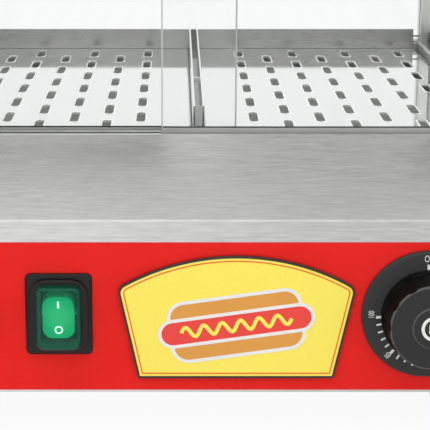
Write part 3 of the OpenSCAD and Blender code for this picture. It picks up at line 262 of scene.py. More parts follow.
def turned_metal(name, colour, roughness):
    """Brass or copper as it comes off the lathe, a little tarnished."""
    material, shader = new_finish(name, colour, roughness, 1.0)
    tarnish = grain(material, (120,) * 3)
    fine = grain(material, (2600,) * 3, 2)
    tarnish_tones = toned(colour, 0.8), toned(colour, 1.06)
    vary_colour(material, tarnish, shader.inputs["Base Color"], *tarnish_tones)
    vary_number(material, tarnish, shader.inputs["Roughness"], roughness - 0.06, roughness + 0.1)
    raise_grain(material, shader, fine, 0.00001)
    return material


brass = turned_metal("brass", (0.72, 0.53, 0.24), 0.28)
copper = turned_metal("copper", (0.72, 0.4, 0.26), 0.3)
dress(brass, "element_fittings", "bulb_gland")
dress(copper, "thermostat_bulb")
dress(zinc, "level_probe")

# Wiring parts in the base: overheat cut-out, thermostat, switch and lamp bodies, terminal block.
# Moulded heat-proof plastic, black but for the ivory block.
# The thermostat's shaft and the nut that clamps it to the front are zinc-plated steel.
black_plastic = moulded("black_plastic", (0.022, 0.022, 0.023), 0.42)
ivory_plastic = moulded("ivory_plastic", (0.76, 0.72, 0.62), 0.5)
dress(black_plastic, "overheat_cutout", "thermostat_body", "switch_body", "lamp_body")
dress(ivory_plastic, "terminal_block")
dress(zinc, "bezel_nut", "thermostat_shaft")

# Trays: two pressed plates with staggered slots, lying on the tank's ledge and the crossbar.
# Rolled stainless steel, almost a mirror on top and satin in the folds, a bead round each slot.
# The divider between them is an open folded channel, brushed outside and pale inside, with a
# painted glow inside and painted shade on its front end.


def bright_steel(name, tone, roughness):
    """Polished stainless steel with a faint rolled haze and hairline scratches."""
    colour = (tone, tone, tone * 0.99)
    material, shader = new_finish(name, colour, roughness, 1.0)
    haze = grain(material, (30, 30, 30))
    hairline = grain(material, (12, 1500, 1500), 2)
    hairline_tones = toned(colour, 0.975), toned(colour, 1.01)
    vary_number(material, haze, shader.inputs["Roughness"], roughness * 0.7, roughness * 1.4)
    vary_colour(material, hairline, shader.inputs["Base Color"], *hairline_tones)
    return material


def facing(material, axis, low=0.0, high=1.0):
    """How squarely a face looks along an axis: zero at the low limit and one at the high."""
    tree = material.node_tree
    surface = tree.nodes.new("ShaderNodeNewGeometry")
    split = tree.nodes.new("ShaderNodeSeparateXYZ")
    size = tree.nodes.new("ShaderNodeMath")
    size.operation = "ABSOLUTE"
    spread = tree.nodes.new("ShaderNodeMapRange")
    spread.inputs["From Min"].default_value = low
    spread.inputs["From Max"].default_value = high
    tree.links.new(surface.outputs["Normal"], split.inputs["Vector"])
    tree.links.new(split.outputs[axis], size.inputs[0])
    tree.links.new(size.outputs[0], spread.inputs["Value"])
    return spread.outputs["Result"]


# Corners of a CAD mesh are matched to a thousandth of a millimetre, and levels to a hundredth.
corner_digits = 6
level_slack = 0.00001


def slot_loops(name):
    """The closed lines where a tray's flat top meets the walls of its slots."""
    mesh = nodes[name].data
    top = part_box(name)[1].z
    place = []
    for vertex in mesh.vertices:
        x, y, z = vertex.co
        on_top = z > top - level_slack
        place.append((round(x, corner_digits), round(y, corner_digits)) if on_top else None)
    sides = set()
    for face in mesh.polygons:
        flat = [place[i] for i in face.vertices]
        if None in flat:
            continue
        for start, end in zip(flat, flat[1:] + flat[:1]):
            if (end, start) in sides:
                sides.remove((end, start))
            elif start != end:
                sides.add((start, end))
    follow = dict(sides)
    loops = []
    while follow:
        start, here = follow.popitem()
        loop = [start]
        while here != start:
            loop.append(here)
            here = follow.pop(here)
        loops.append([Vector(point) for point in loop])
    return loops, top


def added(name, mesh, material):
    """A new object in the scene, made of one mesh and one finish."""
    mesh.materials.append(material)
    piece = bpy.data.objects.new(name, mesh)
    scene.collection.objects.link(piece)
    return piece


tray_steel = bright_steel("tray_steel", 0.83, 0.06)
tray_level = facing(tray_steel, Z, 0.85, 1.0)
vary_number(tray_steel, tray_level, shader_of(tray_steel).inputs["Metallic"], 0.1, 1.0)
dress(tray_steel, "left_tray", "right_tray")
bead_steel = bright_steel("bead_steel", 0.95, 0.3)
bead_width = 0.0009
bead_height = 0.00016
bead_steps = 5
longest_slot = 0.05
for name, body in (("left_tray", "left_tray_body"), ("right_tray", "right_tray_body")):
    corners, faces = [], []
    loops, top = slot_loops(name)
    for loop in loops:
        if max((point - loop[0]).length for point in loop) > longest_slot:
            continue
        first = len(corners)
        for i, point in enumerate(loop):
            ahead = (loop[(i + 1) % len(loop)] - loop[i - 1]).normalized()
            outward = Vector((-ahead.y, ahead.x))
            for j in range(bead_steps):
                turn = math.pi * j / (bead_steps - 1)
                across = point + outward * bead_width * (1 - math.cos(turn)) / 2
                corners.append((across.x, across.y, top + bead_height * math.sin(turn)))
        for i in range(len(loop)):
            here = first + i * bead_steps
            there = first + (i + 1) % len(loop) * bead_steps
            for j in range(bead_steps - 1):
                faces.append((here + j, there + j, there + j + 1, here + j + 1))
            faces.append((here + bead_steps - 1, there + bead_steps - 1, there, here))
    bead_mesh = bpy.data.meshes.new(name + "_slot_beads")
    bead_mesh.from_pydata(corners, [], faces)
    beads = added(name + "_slot_beads", bead_mesh, bead_steel)
    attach(beads, body)
divider_steel = brushed_steel("divider_steel", Y, 0.9, 0.3)
divider_sockets = shader_of(divider_steel).inputs
divider_low, divider_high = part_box("tray_divider")
divider_mid = (divider_low.x + divider_high.x) / 2
wall_inside = 0.0016
wall_outside = 0.0019
outside = away_from(divider_steel, X, divider_mid, wall_inside, wall_outside)
# painted shade: the divider's front end is darker than its top and sides
end_painted_shade = facing(divider_steel, Y, 0.2, 0.9)
side_tone = (0.88, 0.88, 0.87)
painted_end_shade_tone = (0.24, 0.24, 0.235)
vary_colour(divider_steel, end_painted_shade, divider_sockets["Base Color"], side_tone, painted_end_shade_tone)
vary_number(divider_steel, outside, divider_sockets["Roughness"], 0.65, 0.2)
vary_number(divider_steel, outside, divider_sockets["Metallic"], 0.0, 1.0)
# painted glow inside the channel: its inner walls give off light of their own
vary_colour(divider_steel, outside, divider_sockets["Emission Color"], (0.2,) * 3, (0,) * 3)
divider_sockets["Emission Strength"].default_value = 1
dress(divider_steel, "tray_divider")

# Cabinet frame: four square posts and a low channel rail along the rear glass.
# Brushed stainless steel, drawn lengthways; the rail's front sheet ends in a narrow hem.
post_steel = brushed_steel("post_steel", Z, 0.71, 0.34, 0.12)
rail_steel = brushed_steel("rail_steel", X, 0.37, 0.26, 0.04)
dress(post_steel, "front_left_post", "front_right_post", "rear_left_post", "rear_right_post")
dress(rail_steel, "rear_glass_rail")
hem_drop = 0.00045
hem_depth = 0.0008
rail_low, rail_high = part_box("rear_glass_rail")
hem_work = bmesh.new()
bmesh.ops.create_cube(hem_work, size=1)
for vertex in hem_work.verts:
    vertex.co.x = rail_low.x if vertex.co.x < 0 else rail_high.x
    vertex.co.y = rail_low.y + (0 if vertex.co.y < 0 else hem_depth)
    vertex.co.z = rail_low.z - (hem_drop if vertex.co.z < 0 else 0)
hem_mesh = bpy.data.meshes.new("rail_hem")
hem_work.to_mesh(hem_mesh)
hem_work.free()
rail_hem = added("rail_hem", hem_mesh, rail_steel)
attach(rail_hem, "cabinet")

# Glass: side and rear panes stand in the posts' grooves on rubber channels, and the doors slide.
# Clear toughened glass, faintly green; every pane's edges are ground to a narrow matt bevel.
# The channels are extruded black rubber, greyed by steam.
clear_glass, glass_shader = new_finish("clear_glass", (0.975, 0.985, 0.982), 0.0)
glass_shader.inputs["Transmission Weight"].default_value = 1
glass_shader.inputs["IOR"].default_value = 1.3
wiped = grain(clear_glass, (9, 9, 9), 2)
vary_number(clear_glass, wiped, glass_shader.inputs["Roughness"], 0.0, 0.006)
ground_glass = moulded("ground_glass", (0.58, 0.62, 0.61), 0.6, 3000, 0.00003, 0.2)
panes = ("rear_glass", "left_side_glass", "right_side_glass", "left_door_glass", "right_door_glass")
dress(clear_glass, *panes)
pane_join = 0.00001
ground_slot = 1
ground_width = 0.0009
for name in panes:
    pane = nodes[name]
    pane.data.materials.append(ground_glass)
    joined = pane.modifiers.new("joined", "WELD")
    joined.merge_threshold = pane_join
    edge = pane.modifiers.new("eased_edge", "BEVEL")
    edge.width = ground_width
    edge.segments = 2
    edge.material = ground_slot
    edge.harden_normals = True
seal_rubber = moulded("seal_rubber", (0.11, 0.11, 0.108), 0.65, 900, 0.0001)
dress(seal_rubber, "glass_seals")

# Door tracks: extruded channels on the shelf and under the ceiling, one groove for each pane.
# Aluminium; the lower track is drawn to a satin finish, and the upper one has a pale coat.
track_metal = brushed_steel("track_metal", X, 0.55, 0.3)
track_coat = moulded("track_coat", (0.86, 0.86, 0.85), 0.45)
dress(track_metal, "lower_door_track")
dress(track_coat, "upper_door_track")

# Roof: a pressed cap over a flat ceiling tray, screwed down into the posts.
# Stainless steel, brushed along the width; the ceiling is smoother and brighter.
roof_steel = brushed_steel("roof_steel", X, 0.5, 0.34, 0.16)
ceiling_steel = brushed_steel("ceiling_steel", X, 0.88, 0.2)
dress(roof_steel, "roof_panel")
dress(ceiling_steel, "ceiling_panel")

# Doors: each pane stands in a thin steel shoe and has a slim dished pull near its outer edge.
# Folded bright steel, dulled by handling, and black moulded plastic.
shoe_steel = bright_steel("shoe_steel", 0.4, 0.4)
shader_of(shoe_steel).inputs["Metallic"].default_value = 0.5
dress(shoe_steel, "left_door_shoe", "right_door_shoe")
dress(black_plastic, "left_door_pull", "right_door_pull")

# Front panel: a thin printed overlay stuck to the steel, red all over.
# Satin vinyl with a very fine grain.
red_vinyl = moulded("red_vinyl", (0.8, 0.0165, 0.0135), 0.38, 1800, 0.00001, 0.12)
dress(red_vinyl, "red_panel")

# Sign plate: a tapered yellow plate with an arched top, stuck to the panel.
# Gloss plastic with dark sides; a dark edge line and an orange line run round inside the rim.
# The picture on it is a hot dog, printed in layers of ink.
yellow = (0.97, 0.82, 0.115)
dark = (0.03, 0.024, 0.022)
yellow_plastic = moulded("yellow_plastic", yellow, 0.3, 1500, 0.000006)
plate_plastic = moulded("plate_plastic", yellow, 0.3, 1500, 0.000006)
plate_colour = shader_of(plate_plastic).inputs["Base Color"]
vary_colour(plate_plastic, facing(plate_plastic, Y), plate_colour, dark, yellow)
dress(plate_plastic, "sign_plate")
print_lift = 0.00004
print_depth = 0.00008
print_join = 0.000001


def front_of(name):
    """The node's mesh, ready to be met by a ray from the front."""
    mesh = nodes[name].data
    corners = [vertex.co for vertex in mesh.vertices]
    return BVHTree.FromPolygons(corners, [tuple(face.vertices) for face in mesh.polygons])


def flat_mesh(name, shape):
    """The mesh of a flat drawing or of letters."""
    flat = bpy.data.objects.new(name, shape)
    scene.collection.objects.link(flat)
    filled = flat.evaluated_get(bpy.context.evaluated_depsgraph_get())
    mesh = bpy.data.meshes.new_from_object(filled)
    bpy.data.objects.remove(flat)
    return mesh


def laid_print(name, shape, carrier, ink, body, height=print_lift):
    """Lays a flat drawing in x and z on a node's front and gives it the thickness of ink."""
    mesh = flat_mesh(name + "_drawing", shape)
    work = bmesh.new()
    work.from_mesh(mesh)
    bmesh.ops.remove_doubles(work, verts=work.verts, dist=print_join)
    bmesh.ops.triangulate(work, faces=work.faces)
    surface = front_of(carrier)
    for vertex in work.verts:
        start = Vector((vertex.co.x, -1, vertex.co.y))
        met = surface.ray_cast(start, Vector((0, 1, 0)))[0] or surface.find_nearest(start)[0]
        vertex.co = (start.x, met.y - height, start.z)
    bmesh.ops.recalc_face_normals(work, faces=work.faces)
    for face in work.faces:
        if face.normal.y > 0:
            face.normal_flip()
    work.to_mesh(mesh)
    work.free()
    mesh.name = name
    mesh.materials.clear()
    piece = added(name, mesh, ink)
    body_of_ink = piece.modifiers.new("ink", "SOLIDIFY")
    body_of_ink.thickness = print_depth
    body_of_ink.offset = 1
    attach(piece, body)


def drawing(name, *loops):
    """A flat filled drawing: loops inside other loops are holes."""
    shape = bpy.data.curves.new(name, "CURVE")
    shape.dimensions = "2D"
    shape.fill_mode = "BOTH"
    for loop in loops:
        line = shape.splines.new("POLY")
        line.points.add(len(loop) - 1)
        line.use_cyclic_u = True
        for point, (x, z) in zip(line.points, loop):
            point.co = (x, z, 0, 1)
    return shape


def rim_of(name):
    """The outline of a node's flat front, which bulges everywhere, anticlockwise in x and z."""
    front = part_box(name)[0].y
    corners = set()
    for vertex in nodes[name].data.vertices:
        if vertex.co.y < front + level_slack:
            corners.add((round(vertex.co.x, corner_digits), round(vertex.co.z, corner_digits)))
    rim = [Vector(corner) for corner in corners]
    loop = [rim[i] for i in geometry.convex_hull_2d(rim)]
    turn = sum(loop[i - 1].cross(point) for i, point in enumerate(loop))
    return loop if turn > 0 else loop[::-1]


def inset(loop, depth):
    """The same outline drawn in by a depth: each side in turn trims a strip off what is left."""
    drawn = loop
    for i, end in enumerate(loop):
        start = loop[i - 1]
        along = (end - start).normalized()
        inward = Vector((-along.y, along.x))
        kept = []
        for j, point in enumerate(drawn):
            last = drawn[j - 1]
            rise, last_rise = ((at - start).dot(inward) - depth for at in (point, last))
            if (rise > 0) != (last_rise > 0):
                kept.append(last.lerp(point, last_rise / (last_rise - rise)))
            if rise > 0:
                kept.append(point)
        drawn = kept
    return drawn


def turned(place, across, up, turn):
    """A point across and up from a place, turned about it."""
    return (place[0] + across * math.cos(turn) - up * math.sin(turn),
            place[1] + across * math.sin(turn) + up * math.cos(turn))


def capsule(x, z, length, width, tilt=0.0, steps=14):
    """A round-ended bar's outline."""
    half = (length - width) / 2
    loop = []
    for end, start in ((1, -90), (-1, 90)):
        for i in range(steps + 1):
            angle = math.radians(start + 180 * i / steps)
            across = end * half + width / 2 * math.cos(angle)
            up = width / 2 * math.sin(angle)
            loop.append(turned((x, z), across, up, math.radians(tilt)))
    return loop


def ribbon(points, width):
    """A band of even width along a line of points, with square ends."""
    left, right = [], []
    for i, point in enumerate(points):
        here = Vector(point)
        ahead = Vector(points[min(i + 1, len(points) - 1)]) - Vector(points[max(i - 1, 0)])
        side = Vector((-ahead.y, ahead.x)).normalized() * width / 2
        left.append(tuple(here + side))
        right.append(tuple(here - side))
    return left + right[::-1]


dark_ink = moulded("dark_ink", dark, 0.4)
orange_ink = moulded("orange_ink", (0.85, 0.12, 0.02), 0.35)
red_ink = moulded("red_ink", (0.8, 0.06, 0.045), 0.35)
white_ink = moulded("white_ink", (0.82, 0.82, 0.81), 0.4)
bun_ink = moulded("bun_ink", (0.72, 0.33, 0.06), 0.4)
edge_width = 0.001
pin_outer = 0.0021
pin_inner = 0.0026
sign_rim = rim_of("sign_plate")
edge_line = drawing("edge_line", sign_rim, inset(sign_rim, edge_width))
laid_print("sign_edge_line", edge_line, "sign_plate", dark_ink, "cabinet")
pin_line = drawing("pin_line", inset(sign_rim, pin_outer), inset(sign_rim, pin_inner))
laid_print("sign_pin_line", pin_line, "sign_plate", orange_ink, "cabinet")

picture_rise = 0.025
sign_low, sign_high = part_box("sign_plate")
sign_mid = (sign_low.x + sign_high.x) / 2, sign_low.z + picture_rise
bun_tilt = 8
sausage = (0.068, 0.0105)
bun = (0.058, 0.0125)
keyline = 0.0016
bun_rise = 0.0068
lean = math.radians(bun_tilt)
for label, grow, ink, layer in (("halo", keyline, white_ink, 1), ("bun", 0, bun_ink, 2)):
    for half, rise in (("upper", bun_rise), ("lower", -bun_rise)):
        x, z = turned(sign_mid, 0, rise, lean)
        outline = capsule(x, z, bun[0] + 2 * grow, bun[1] + 2 * grow, bun_tilt)
        laid_print(f"sign_{half}_{label}", drawing(label, outline), "sign_plate", ink, "cabinet",
                   layer * print_lift)
for label, grow, ink, layer in (("halo", keyline, white_ink, 3), ("fill", 0, red_ink, 4)):
    outline = capsule(*sign_mid, sausage[0] + 2 * grow, sausage[1] + 2 * grow, bun_tilt)
    laid_print(f"sign_sausage_{label}", drawing(label, outline), "sign_plate", ink, "cabinet",
               layer * print_lift)
waves = 6
wave_height = 0.0024
wave_steps = 96
mustard_length = 0.05
mustard_width = 0.0017
mustard_layer = 5
mustard = []
for i in range(wave_steps + 1):
    along = (i / wave_steps - 0.5) * mustard_length
    up = wave_height * math.sin(waves * math.tau * i / wave_steps)
    mustard.append(turned(sign_mid, along, up, lean))
mustard_line = drawing("mustard", ribbon(mustard, mustard_width))
laid_print("sign_mustard", mustard_line, "sign_plate", yellow_plastic, "cabinet",
           mustard_layer * print_lift)

# Dial: a black bezel with printed marks from off to hot, and a scalloped knob over the shaft.
# Matte moulded plastic; the knob's bevels carry a painted highlight, and its sides and skirt
# painted shade.
# The marks are white ink, and the knob carries a ring with a heat sign.
dial_plastic = moulded("dial_plastic", (0.035, 0.035, 0.0355), 0.5, gloss=0.25)
knob_plastic = moulded("knob_plastic", (0.033, 0.033, 0.0335), 0.5, gloss=0.08)
dress(dial_plastic, "dial_bezel")
knob_tree = knob_plastic.node_tree
# painted light on the knob: near-black sides as painted shade, paler bevels as a painted highlight
painted_knob_light = knob_tree.nodes.new("ShaderNodeValToRGB")
painted_light_stops = ((0.0, 0.004), (0.45, 0.004), (0.55, 0.1), (0.86, 0.1), (0.94, 0.036), (1.0, 0.036))
for position, _ in painted_light_stops[1:-1]:
    painted_knob_light.color_ramp.elements.new(position)
for stop, (_, level) in zip(painted_knob_light.color_ramp.elements, painted_light_stops):
    stop.color = (level, level, level, 1)
painted_lit_depth = 0.002
skirt_depth = 0.004
knob_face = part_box("thermostat_knob")[0].y
# painted shade: more than a few millimetres behind the knob's face it turns near-black
painted_lit_front = away_from(knob_plastic, Y, knob_face, skirt_depth, painted_lit_depth)
shade = colour_mix(knob_plastic)
shade.inputs["A"].default_value = (0.004, 0.004, 0.004, 1)
knob_tree.links.new(facing(knob_plastic, Y), painted_knob_light.inputs["Fac"])
knob_tree.links.new(painted_lit_front, shade.inputs["Factor"])
knob_tree.links.new(painted_knob_light.outputs["Color"], shade.inputs["B"])
knob_tree.links.new(shade.outputs["Result"], shader_of(knob_plastic).inputs["Base Color"])
dress(knob_plastic, "thermostat_knob")
dial_low, dial_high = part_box("dial_bezel")
dial_x = (dial_low.x + dial_high.x) / 2
dial_z = (dial_low.z + dial_high.z) / 2


def on_dial(radius, bearing):
    """A place on the dial, its bearing in degrees clockwise from the top."""
    turn = math.radians(bearing)
    return dial_x + radius * math.sin(turn), dial_z + radius * math.cos(turn)


letter_squeeze = 0.66


def lettered(name, words, size, place, bearing):
    """Narrow letters or numbers whose foot points at the dial's middle."""
    shape = bpy.data.curves.new(name, "FONT")
    shape.body = words
    shape.size = size
    shape.align_x = "CENTER"
    shape.align_y = "CENTER"
    mesh = flat_mesh(name, shape)
    for vertex in mesh.vertices:
        across = vertex.co.x * letter_squeeze
        vertex.co = (*turned(place, across, vertex.co.y, -math.radians(bearing)), 0)
    return mesh


def dial_bar(bearing, inner, outer, width):
    """A straight mark that points at the dial's middle."""
    middle = on_dial((inner + outer) / 2, bearing)
    side = width / 2
    reach = (outer - inner) / 2
    corners = ((-side, -reach), (side, -reach), (side, reach), (-side, reach))
    return [turned(middle, across, up, -math.radians(bearing)) for across, up in corners]


def disc(place, radius, steps=24):
    """A round outline."""
    return [turned(place, radius, 0, math.tau * i / steps) for i in range(steps)]


off_inner = 0.0213
off_outer = 0.0237
off_width = 0.0022
hot_bearing = 267.8
tick_count = 9
tick_step = 9.13
tick_radius = 0.0221
tick_drift = 0.00013
tick_curl = 0.000017
half_tick = 0.00115
tick_width = 0.0008
broad_ticks = (0, 5)
broad_width = 0.0012
first_dot = 7
dot_radius = 0.0005
bars = [dial_bar(0, off_inner, off_outer, off_width)]
for i in range(tick_count):
    bearing = hot_bearing - i * tick_step
    radius = tick_radius + tick_drift * i + tick_curl * i * i
    if i < first_dot:
        width = broad_width if i in broad_ticks else tick_width
        bars.append(dial_bar(bearing, radius - half_tick, radius + half_tick, width))
    else:
        bars.append(disc(on_dial(radius, bearing), dot_radius))
marks = drawing("dial_marks", *bars)
laid_print("dial_marks", marks, "dial_bezel", white_ink, "cabinet")
for words, size, bearing, radius in (
    ("OFF", 0.0044, 0, 0.0262),
    ("100", 0.0037, hot_bearing + 3, 0.0252),
    ("85", 0.0037, hot_bearing - 45, 0.0256),
):
    letters = lettered(words, words, size, on_dial(radius, bearing), bearing)
    laid_print("dial_" + words.lower(), letters, "dial_bezel", white_ink, "cabinet")
ring_outer = 0.0057
ring_inner = 0.0043
ring_steps = 64
ring_edges = [disc((dial_x, dial_z), edge, ring_steps) for edge in (ring_outer, ring_inner)]
ring = drawing("ring", *ring_edges)
laid_print("knob_ring", ring, "thermostat_knob", white_ink, "knob")
heat_pitch = 0.0018
heat_length = 0.0044
heat_width = 0.0009
heat_bars = [capsule(dial_x + i * heat_pitch, dial_z, heat_length, heat_width, 90)
             for i in (-1, 0, 1)]
heat = drawing("heat", *heat_bars)
laid_print("knob_heat_sign", heat, "thermostat_knob", white_ink, "knob")

# Switch: a lit green rocker under a soft splash-proof cover, in a black frame with a raised collar.
# The rocker is a dotted green lens with lit on and off signs, and painted shade on its sides.
# The cover is clear green plastic, with painted shade on its sloped walls and a faint painted glow.
# The frame is moulded black plastic, a little paler on its front, with painted shade on its sides
# and bevels.
frame_plastic = moulded("frame_plastic", (0.009, 0.0075, 0.0078), 0.4, gloss=0.28)
frame_colour = shader_of(frame_plastic).inputs["Base Color"]
# painted shade: the frame's sides and bevels are darker than its front
frame_painted_shade = facing(frame_plastic, Y, 0.2, 1.2)
frame_shade_tones = (0.004, 0.0035, 0.0036), (0.012, 0.0098, 0.01)
vary_colour(frame_plastic, frame_painted_shade, frame_colour, *frame_shade_tones)
dress(frame_plastic, "switch_frame")
green_plastic, green_shader = new_finish("green_plastic", (0.0, 0.38, 0.15), 0.3)
green_shader.inputs["Specular IOR Level"].default_value = 0.05
green_tree = green_plastic.node_tree
lens_pitch = 0.0009
lens_dots = green_tree.nodes.new("ShaderNodeTexVoronoi")
lens_dots.inputs["Scale"].default_value = 1
lens_dots.inputs["Randomness"].default_value = 0
dot_place = green_tree.nodes.new("ShaderNodeTexCoord")
dot_spread = green_tree.nodes.new("ShaderNodeMapping")
dot_spread.inputs["Scale"].default_value = (1 / lens_pitch, 0, 1 / lens_pitch)
green_tree.links.new(dot_place.outputs["Object"], dot_spread.inputs["Vector"])
green_tree.links.new(dot_spread.outputs["Vector"], lens_dots.inputs["Vector"])
lens_grid = lens_dots.outputs["Distance"]
lens_tones = (0.0, 0.33, 0.145), (0.0, 0.23, 0.092)
vary_colour(green_plastic, lens_grid, green_shader.inputs["Base Color"], *lens_tones)
raise_grain(green_plastic, green_shader, lens_grid, 0.00003)


def ball_fade(material, middle, reach):
    """A mask that falls from one at a place to zero at a reach all round it."""
    tree = material.node_tree
    place = tree.nodes.new("ShaderNodeTexCoord")
    spread = tree.nodes.new("ShaderNodeMapping")
    spread.inputs["Location"].default_value = [-at / reach for at in middle]
    spread.inputs["Scale"].default_value = (1 / reach,) * 3
    ball = tree.nodes.new("ShaderNodeTexGradient")
    ball.gradient_type = "SPHERICAL"
    tree.links.new(place.outputs["Object"], spread.inputs["Vector"])
    tree.links.new(spread.outputs["Vector"], ball.inputs["Vector"])
    return ball.outputs["Fac"]


rocker_low, rocker_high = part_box("switch_rocker")
rocker_x = (rocker_low.x + rocker_high.x) / 2
rocker_z = (rocker_low.z + rocker_high.z) / 2
glow_reach = 0.012
glow_ball = ball_fade(green_plastic, (rocker_x, rocker_low.y, rocker_z), glow_reach)
glow_tones = (0.0, 0.4, 0.17), (0.14, 0.72, 0.35)
lit_face_shaded_sides = colour_mix(green_plastic)
# painted shade: the rocker's sides are dark green while its face is lit
lit_face_shaded_sides.inputs["A"].default_value = (0.0, 0.05, 0.02, 1)
vary_colour(green_plastic, glow_ball, lit_face_shaded_sides.inputs["B"], *glow_tones)
green_tree.links.new(facing(green_plastic, Y, 0.6, 0.93), lit_face_shaded_sides.inputs["Factor"])
dotted = colour_mix(green_plastic, "MULTIPLY")
vary_colour(green_plastic, lens_grid, dotted.inputs["B"], (1.15,) * 3, (0.7,) * 3)
green_tree.links.new(lit_face_shaded_sides.outputs["Result"], dotted.inputs["A"])
green_tree.links.new(dotted.outputs["Result"], green_shader.inputs["Emission Color"])
green_shader.inputs["Emission Strength"].default_value = 0.24
dress(green_plastic, "switch_rocker")
cover_plastic, cover_shader = new_finish("cover_plastic", (0.6, 0.92, 0.78), 0.05)
cover_shader.inputs["IOR"].default_value = 1.15
cover_shader.inputs["Specular IOR Level"].default_value = 0.2
cover_shader.inputs["Transmission Weight"].default_value = 1
# painted glow: the cover gives off a faint green light of its own
cover_shader.inputs["Emission Color"].default_value = (0.1, 0.62, 0.4, 1)
cover_shader.inputs["Emission Strength"].default_value = 0.04
# painted shade: the cover's sloped walls are darker green than its front window
window = facing(cover_plastic, Y, 0.3, 0.98)
cover_painted_tones = (0.02, 0.3, 0.17), (0.75, 0.96, 0.86)
vary_colour(cover_plastic, window, cover_shader.inputs["Base Color"], *cover_painted_tones)
cover_haze = grain(cover_plastic, (300,) * 3)
vary_number(cover_plastic, cover_haze, cover_shader.inputs["Roughness"], 0.02, 0.08)
dress(cover_plastic, "switch_cover")
lit_ink = moulded("lit_ink", (0.9, 0.92, 0.9), 0.4)
lit_shader = shader_of(lit_ink)
lit_shader.inputs["Emission Color"].default_value = (0.9, 1.0, 0.94, 1)
lit_shader.inputs["Emission Strength"].default_value = 0.35
mark_rise = 0.0062
stroke_length = 0.0037
stroke_width = 0.0009
circle_outer = 0.0019
circle_inner = 0.0012
circle_steps = 40
stroke = capsule(rocker_x, rocker_z + mark_rise, stroke_length, stroke_width, 90)
circle_mid = (rocker_x, rocker_z - mark_rise)
circle = [disc(circle_mid, edge, circle_steps) for edge in (circle_outer, circle_inner)]
on_sign = drawing("on_sign", stroke)
off_sign = drawing("off_sign", *circle)
laid_print("rocker_on_sign", on_sign, "switch_rocker", lit_ink, "rocker")
laid_print("rocker_off_sign", off_sign, "switch_rocker", lit_ink, "rocker")

# Lamp: a domed amber lens in a bright bezel, which lights while the water heats.
# Clear tinted plastic and polished steel, pushed into a hole in the front.
amber_plastic, amber_shader = new_finish("amber_plastic", (0.9, 0.42, 0.05), 0.12)
amber_shader.inputs["Transmission Weight"].default_value = 0.5
facets = grain(amber_plastic, (700,) * 3)
vary_number(amber_plastic, facets, amber_shader.inputs["Roughness"], 0.08, 0.2)
lamp_steel = bright_steel("lamp_steel", 0.8, 0.12)
dress(amber_plastic, "lamp_lens")
dress(lamp_steel, "lamp_bezel")

# Power inlet and drain tap on the back: a flush socket with its pins, and a brass tap with a lever.
# Black moulded plastic, plated pins, turned brass and a dipped red lever.
# The socket is set into the rear panel, and the tap's pipe passes through it.
dress(black_plastic, "power_inlet")
dress(zinc, "inlet_pins")
dress(brass, "drain_tap")
red_dip = moulded("red_dip", (0.55, 0.03, 0.025), 0.4, 1200, 0.00003)
dress(red_dip, "drain_lever")

# Studio: a pale floor that fades to white, a white surround and large soft lamps.
# Metal and glass see the same white as the camera, and the floor keeps the steamer's shadow.


def white_to_the_eye(tree):
    """One for rays from the camera, from a reflection or through glass, and zero for the rest."""
    path = tree.nodes.new("ShaderNodeLightPath")
    either = tree.nodes.new("ShaderNodeMath")
    either.operation = "MAXIMUM"
    any_of = tree.nodes.new("ShaderNodeMath")
    any_of.operation = "MAXIMUM"
    tree.links.new(path.outputs["Is Camera Ray"], either.inputs[0])
    tree.links.new(path.outputs["Is Glossy Ray"], either.inputs[1])
    tree.links.new(either.outputs[0], any_of.inputs[0])
    tree.links.new(path.outputs["Is Transmission Ray"], any_of.inputs[1])
    return any_of.outputs[0]


world = bpy.data.worlds.new("studio")
scene.world = world
world.use_nodes = True
sky = world.node_tree
seen = sky.nodes.new("ShaderNodeBackground")
seen.inputs["Color"].default_value = (1, 1, 1, 1)
seen.inputs["Strength"].default_value = 1
lit = sky.nodes["Background"]
lit.inputs["Color"].default_value = (1, 1, 1, 1)
lit.inputs["Strength"].default_value = 0.55
sky_mix = sky.nodes.new("ShaderNodeMixShader")
sky.links.new(white_to_the_eye(sky), sky_mix.inputs["Fac"])
sky.links.new(lit.outputs["Background"], sky_mix.inputs[1])
sky.links.new(seen.outputs["Background"], sky_mix.inputs[2])
sky.links.new(sky_mix.outputs["Shader"], sky.nodes["World Output"].inputs["Surface"])

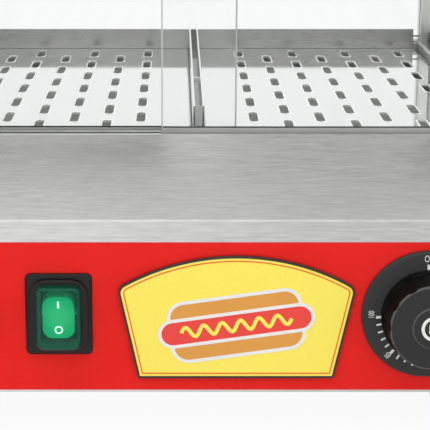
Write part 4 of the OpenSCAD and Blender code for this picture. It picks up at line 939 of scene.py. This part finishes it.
floor_reach = 30
floor_mesh = bpy.data.meshes.new("floor")
floor_signs = ((-1, -1), (1, -1), (1, 1), (-1, 1))
floor_corners = [(x * floor_reach, y * floor_reach, 0) for x, y in floor_signs]
floor_mesh.from_pydata(floor_corners, [], [(0, 1, 2, 3)])
floor_paint, floor_shader = new_finish("floor_paint", (0.86, 0.86, 0.86), 0.9)
floor = added("floor", floor_mesh, floor_paint)
floor_tree = floor_paint.node_tree
glow = floor_tree.nodes.new("ShaderNodeEmission")
glow.inputs["Color"].default_value = (1, 1, 1, 1)
shadow_reach = 2.5
share_near = 0.93
share_far = 1.0
share = floor_tree.nodes.new("ShaderNodeMath")
share.operation = "MULTIPLY"
fade = ball_fade(floor_paint, (0, 0, 0), shadow_reach)
vary_number(floor_paint, fade, share.inputs[1], share_far, share_near)
floor_mix = floor_tree.nodes.new("ShaderNodeMixShader")
floor_surface = floor_tree.nodes["Material Output"].inputs["Surface"]
floor_tree.links.new(white_to_the_eye(floor_tree), share.inputs[0])
floor_tree.links.new(share.outputs[0], floor_mix.inputs["Fac"])
floor_tree.links.new(floor_shader.outputs["BSDF"], floor_mix.inputs[1])
floor_tree.links.new(glow.outputs["Emission"], floor_mix.inputs[2])
floor_tree.links.new(floor_mix.outputs["Shader"], floor_surface)

lamp_aim = Vector((0, 0, 0.15))
for name, place, size, power in (
    ("key_lamp", (-0.9, -1.6, 1.9), 2.6, 21.5),
    ("top_lamp", (0.0, -0.2, 3.2), 3.0, 18),
    ("brow_lamp", (0.0, -1.6, 1.75), 1.5, 2.2),
    ("fill_lamp", (1.3, -1.5, 1.1), 2.0, 10),
    ("back_lamp", (0.6, 1.6, 1.8), 2.0, 12),
):
    lamp_data = bpy.data.lights.new(name, "AREA")
    lamp_data.size = size
    lamp_data.energy = power
    lamp = bpy.data.objects.new(name, lamp_data)
    lamp.location = place
    lamp.rotation_euler = (lamp_aim - Vector(place)).to_track_quat("-Z", "Y").to_euler()
    lamp.visible_glossy = name == "brow_lamp"
    scene.collection.objects.link(lamp)
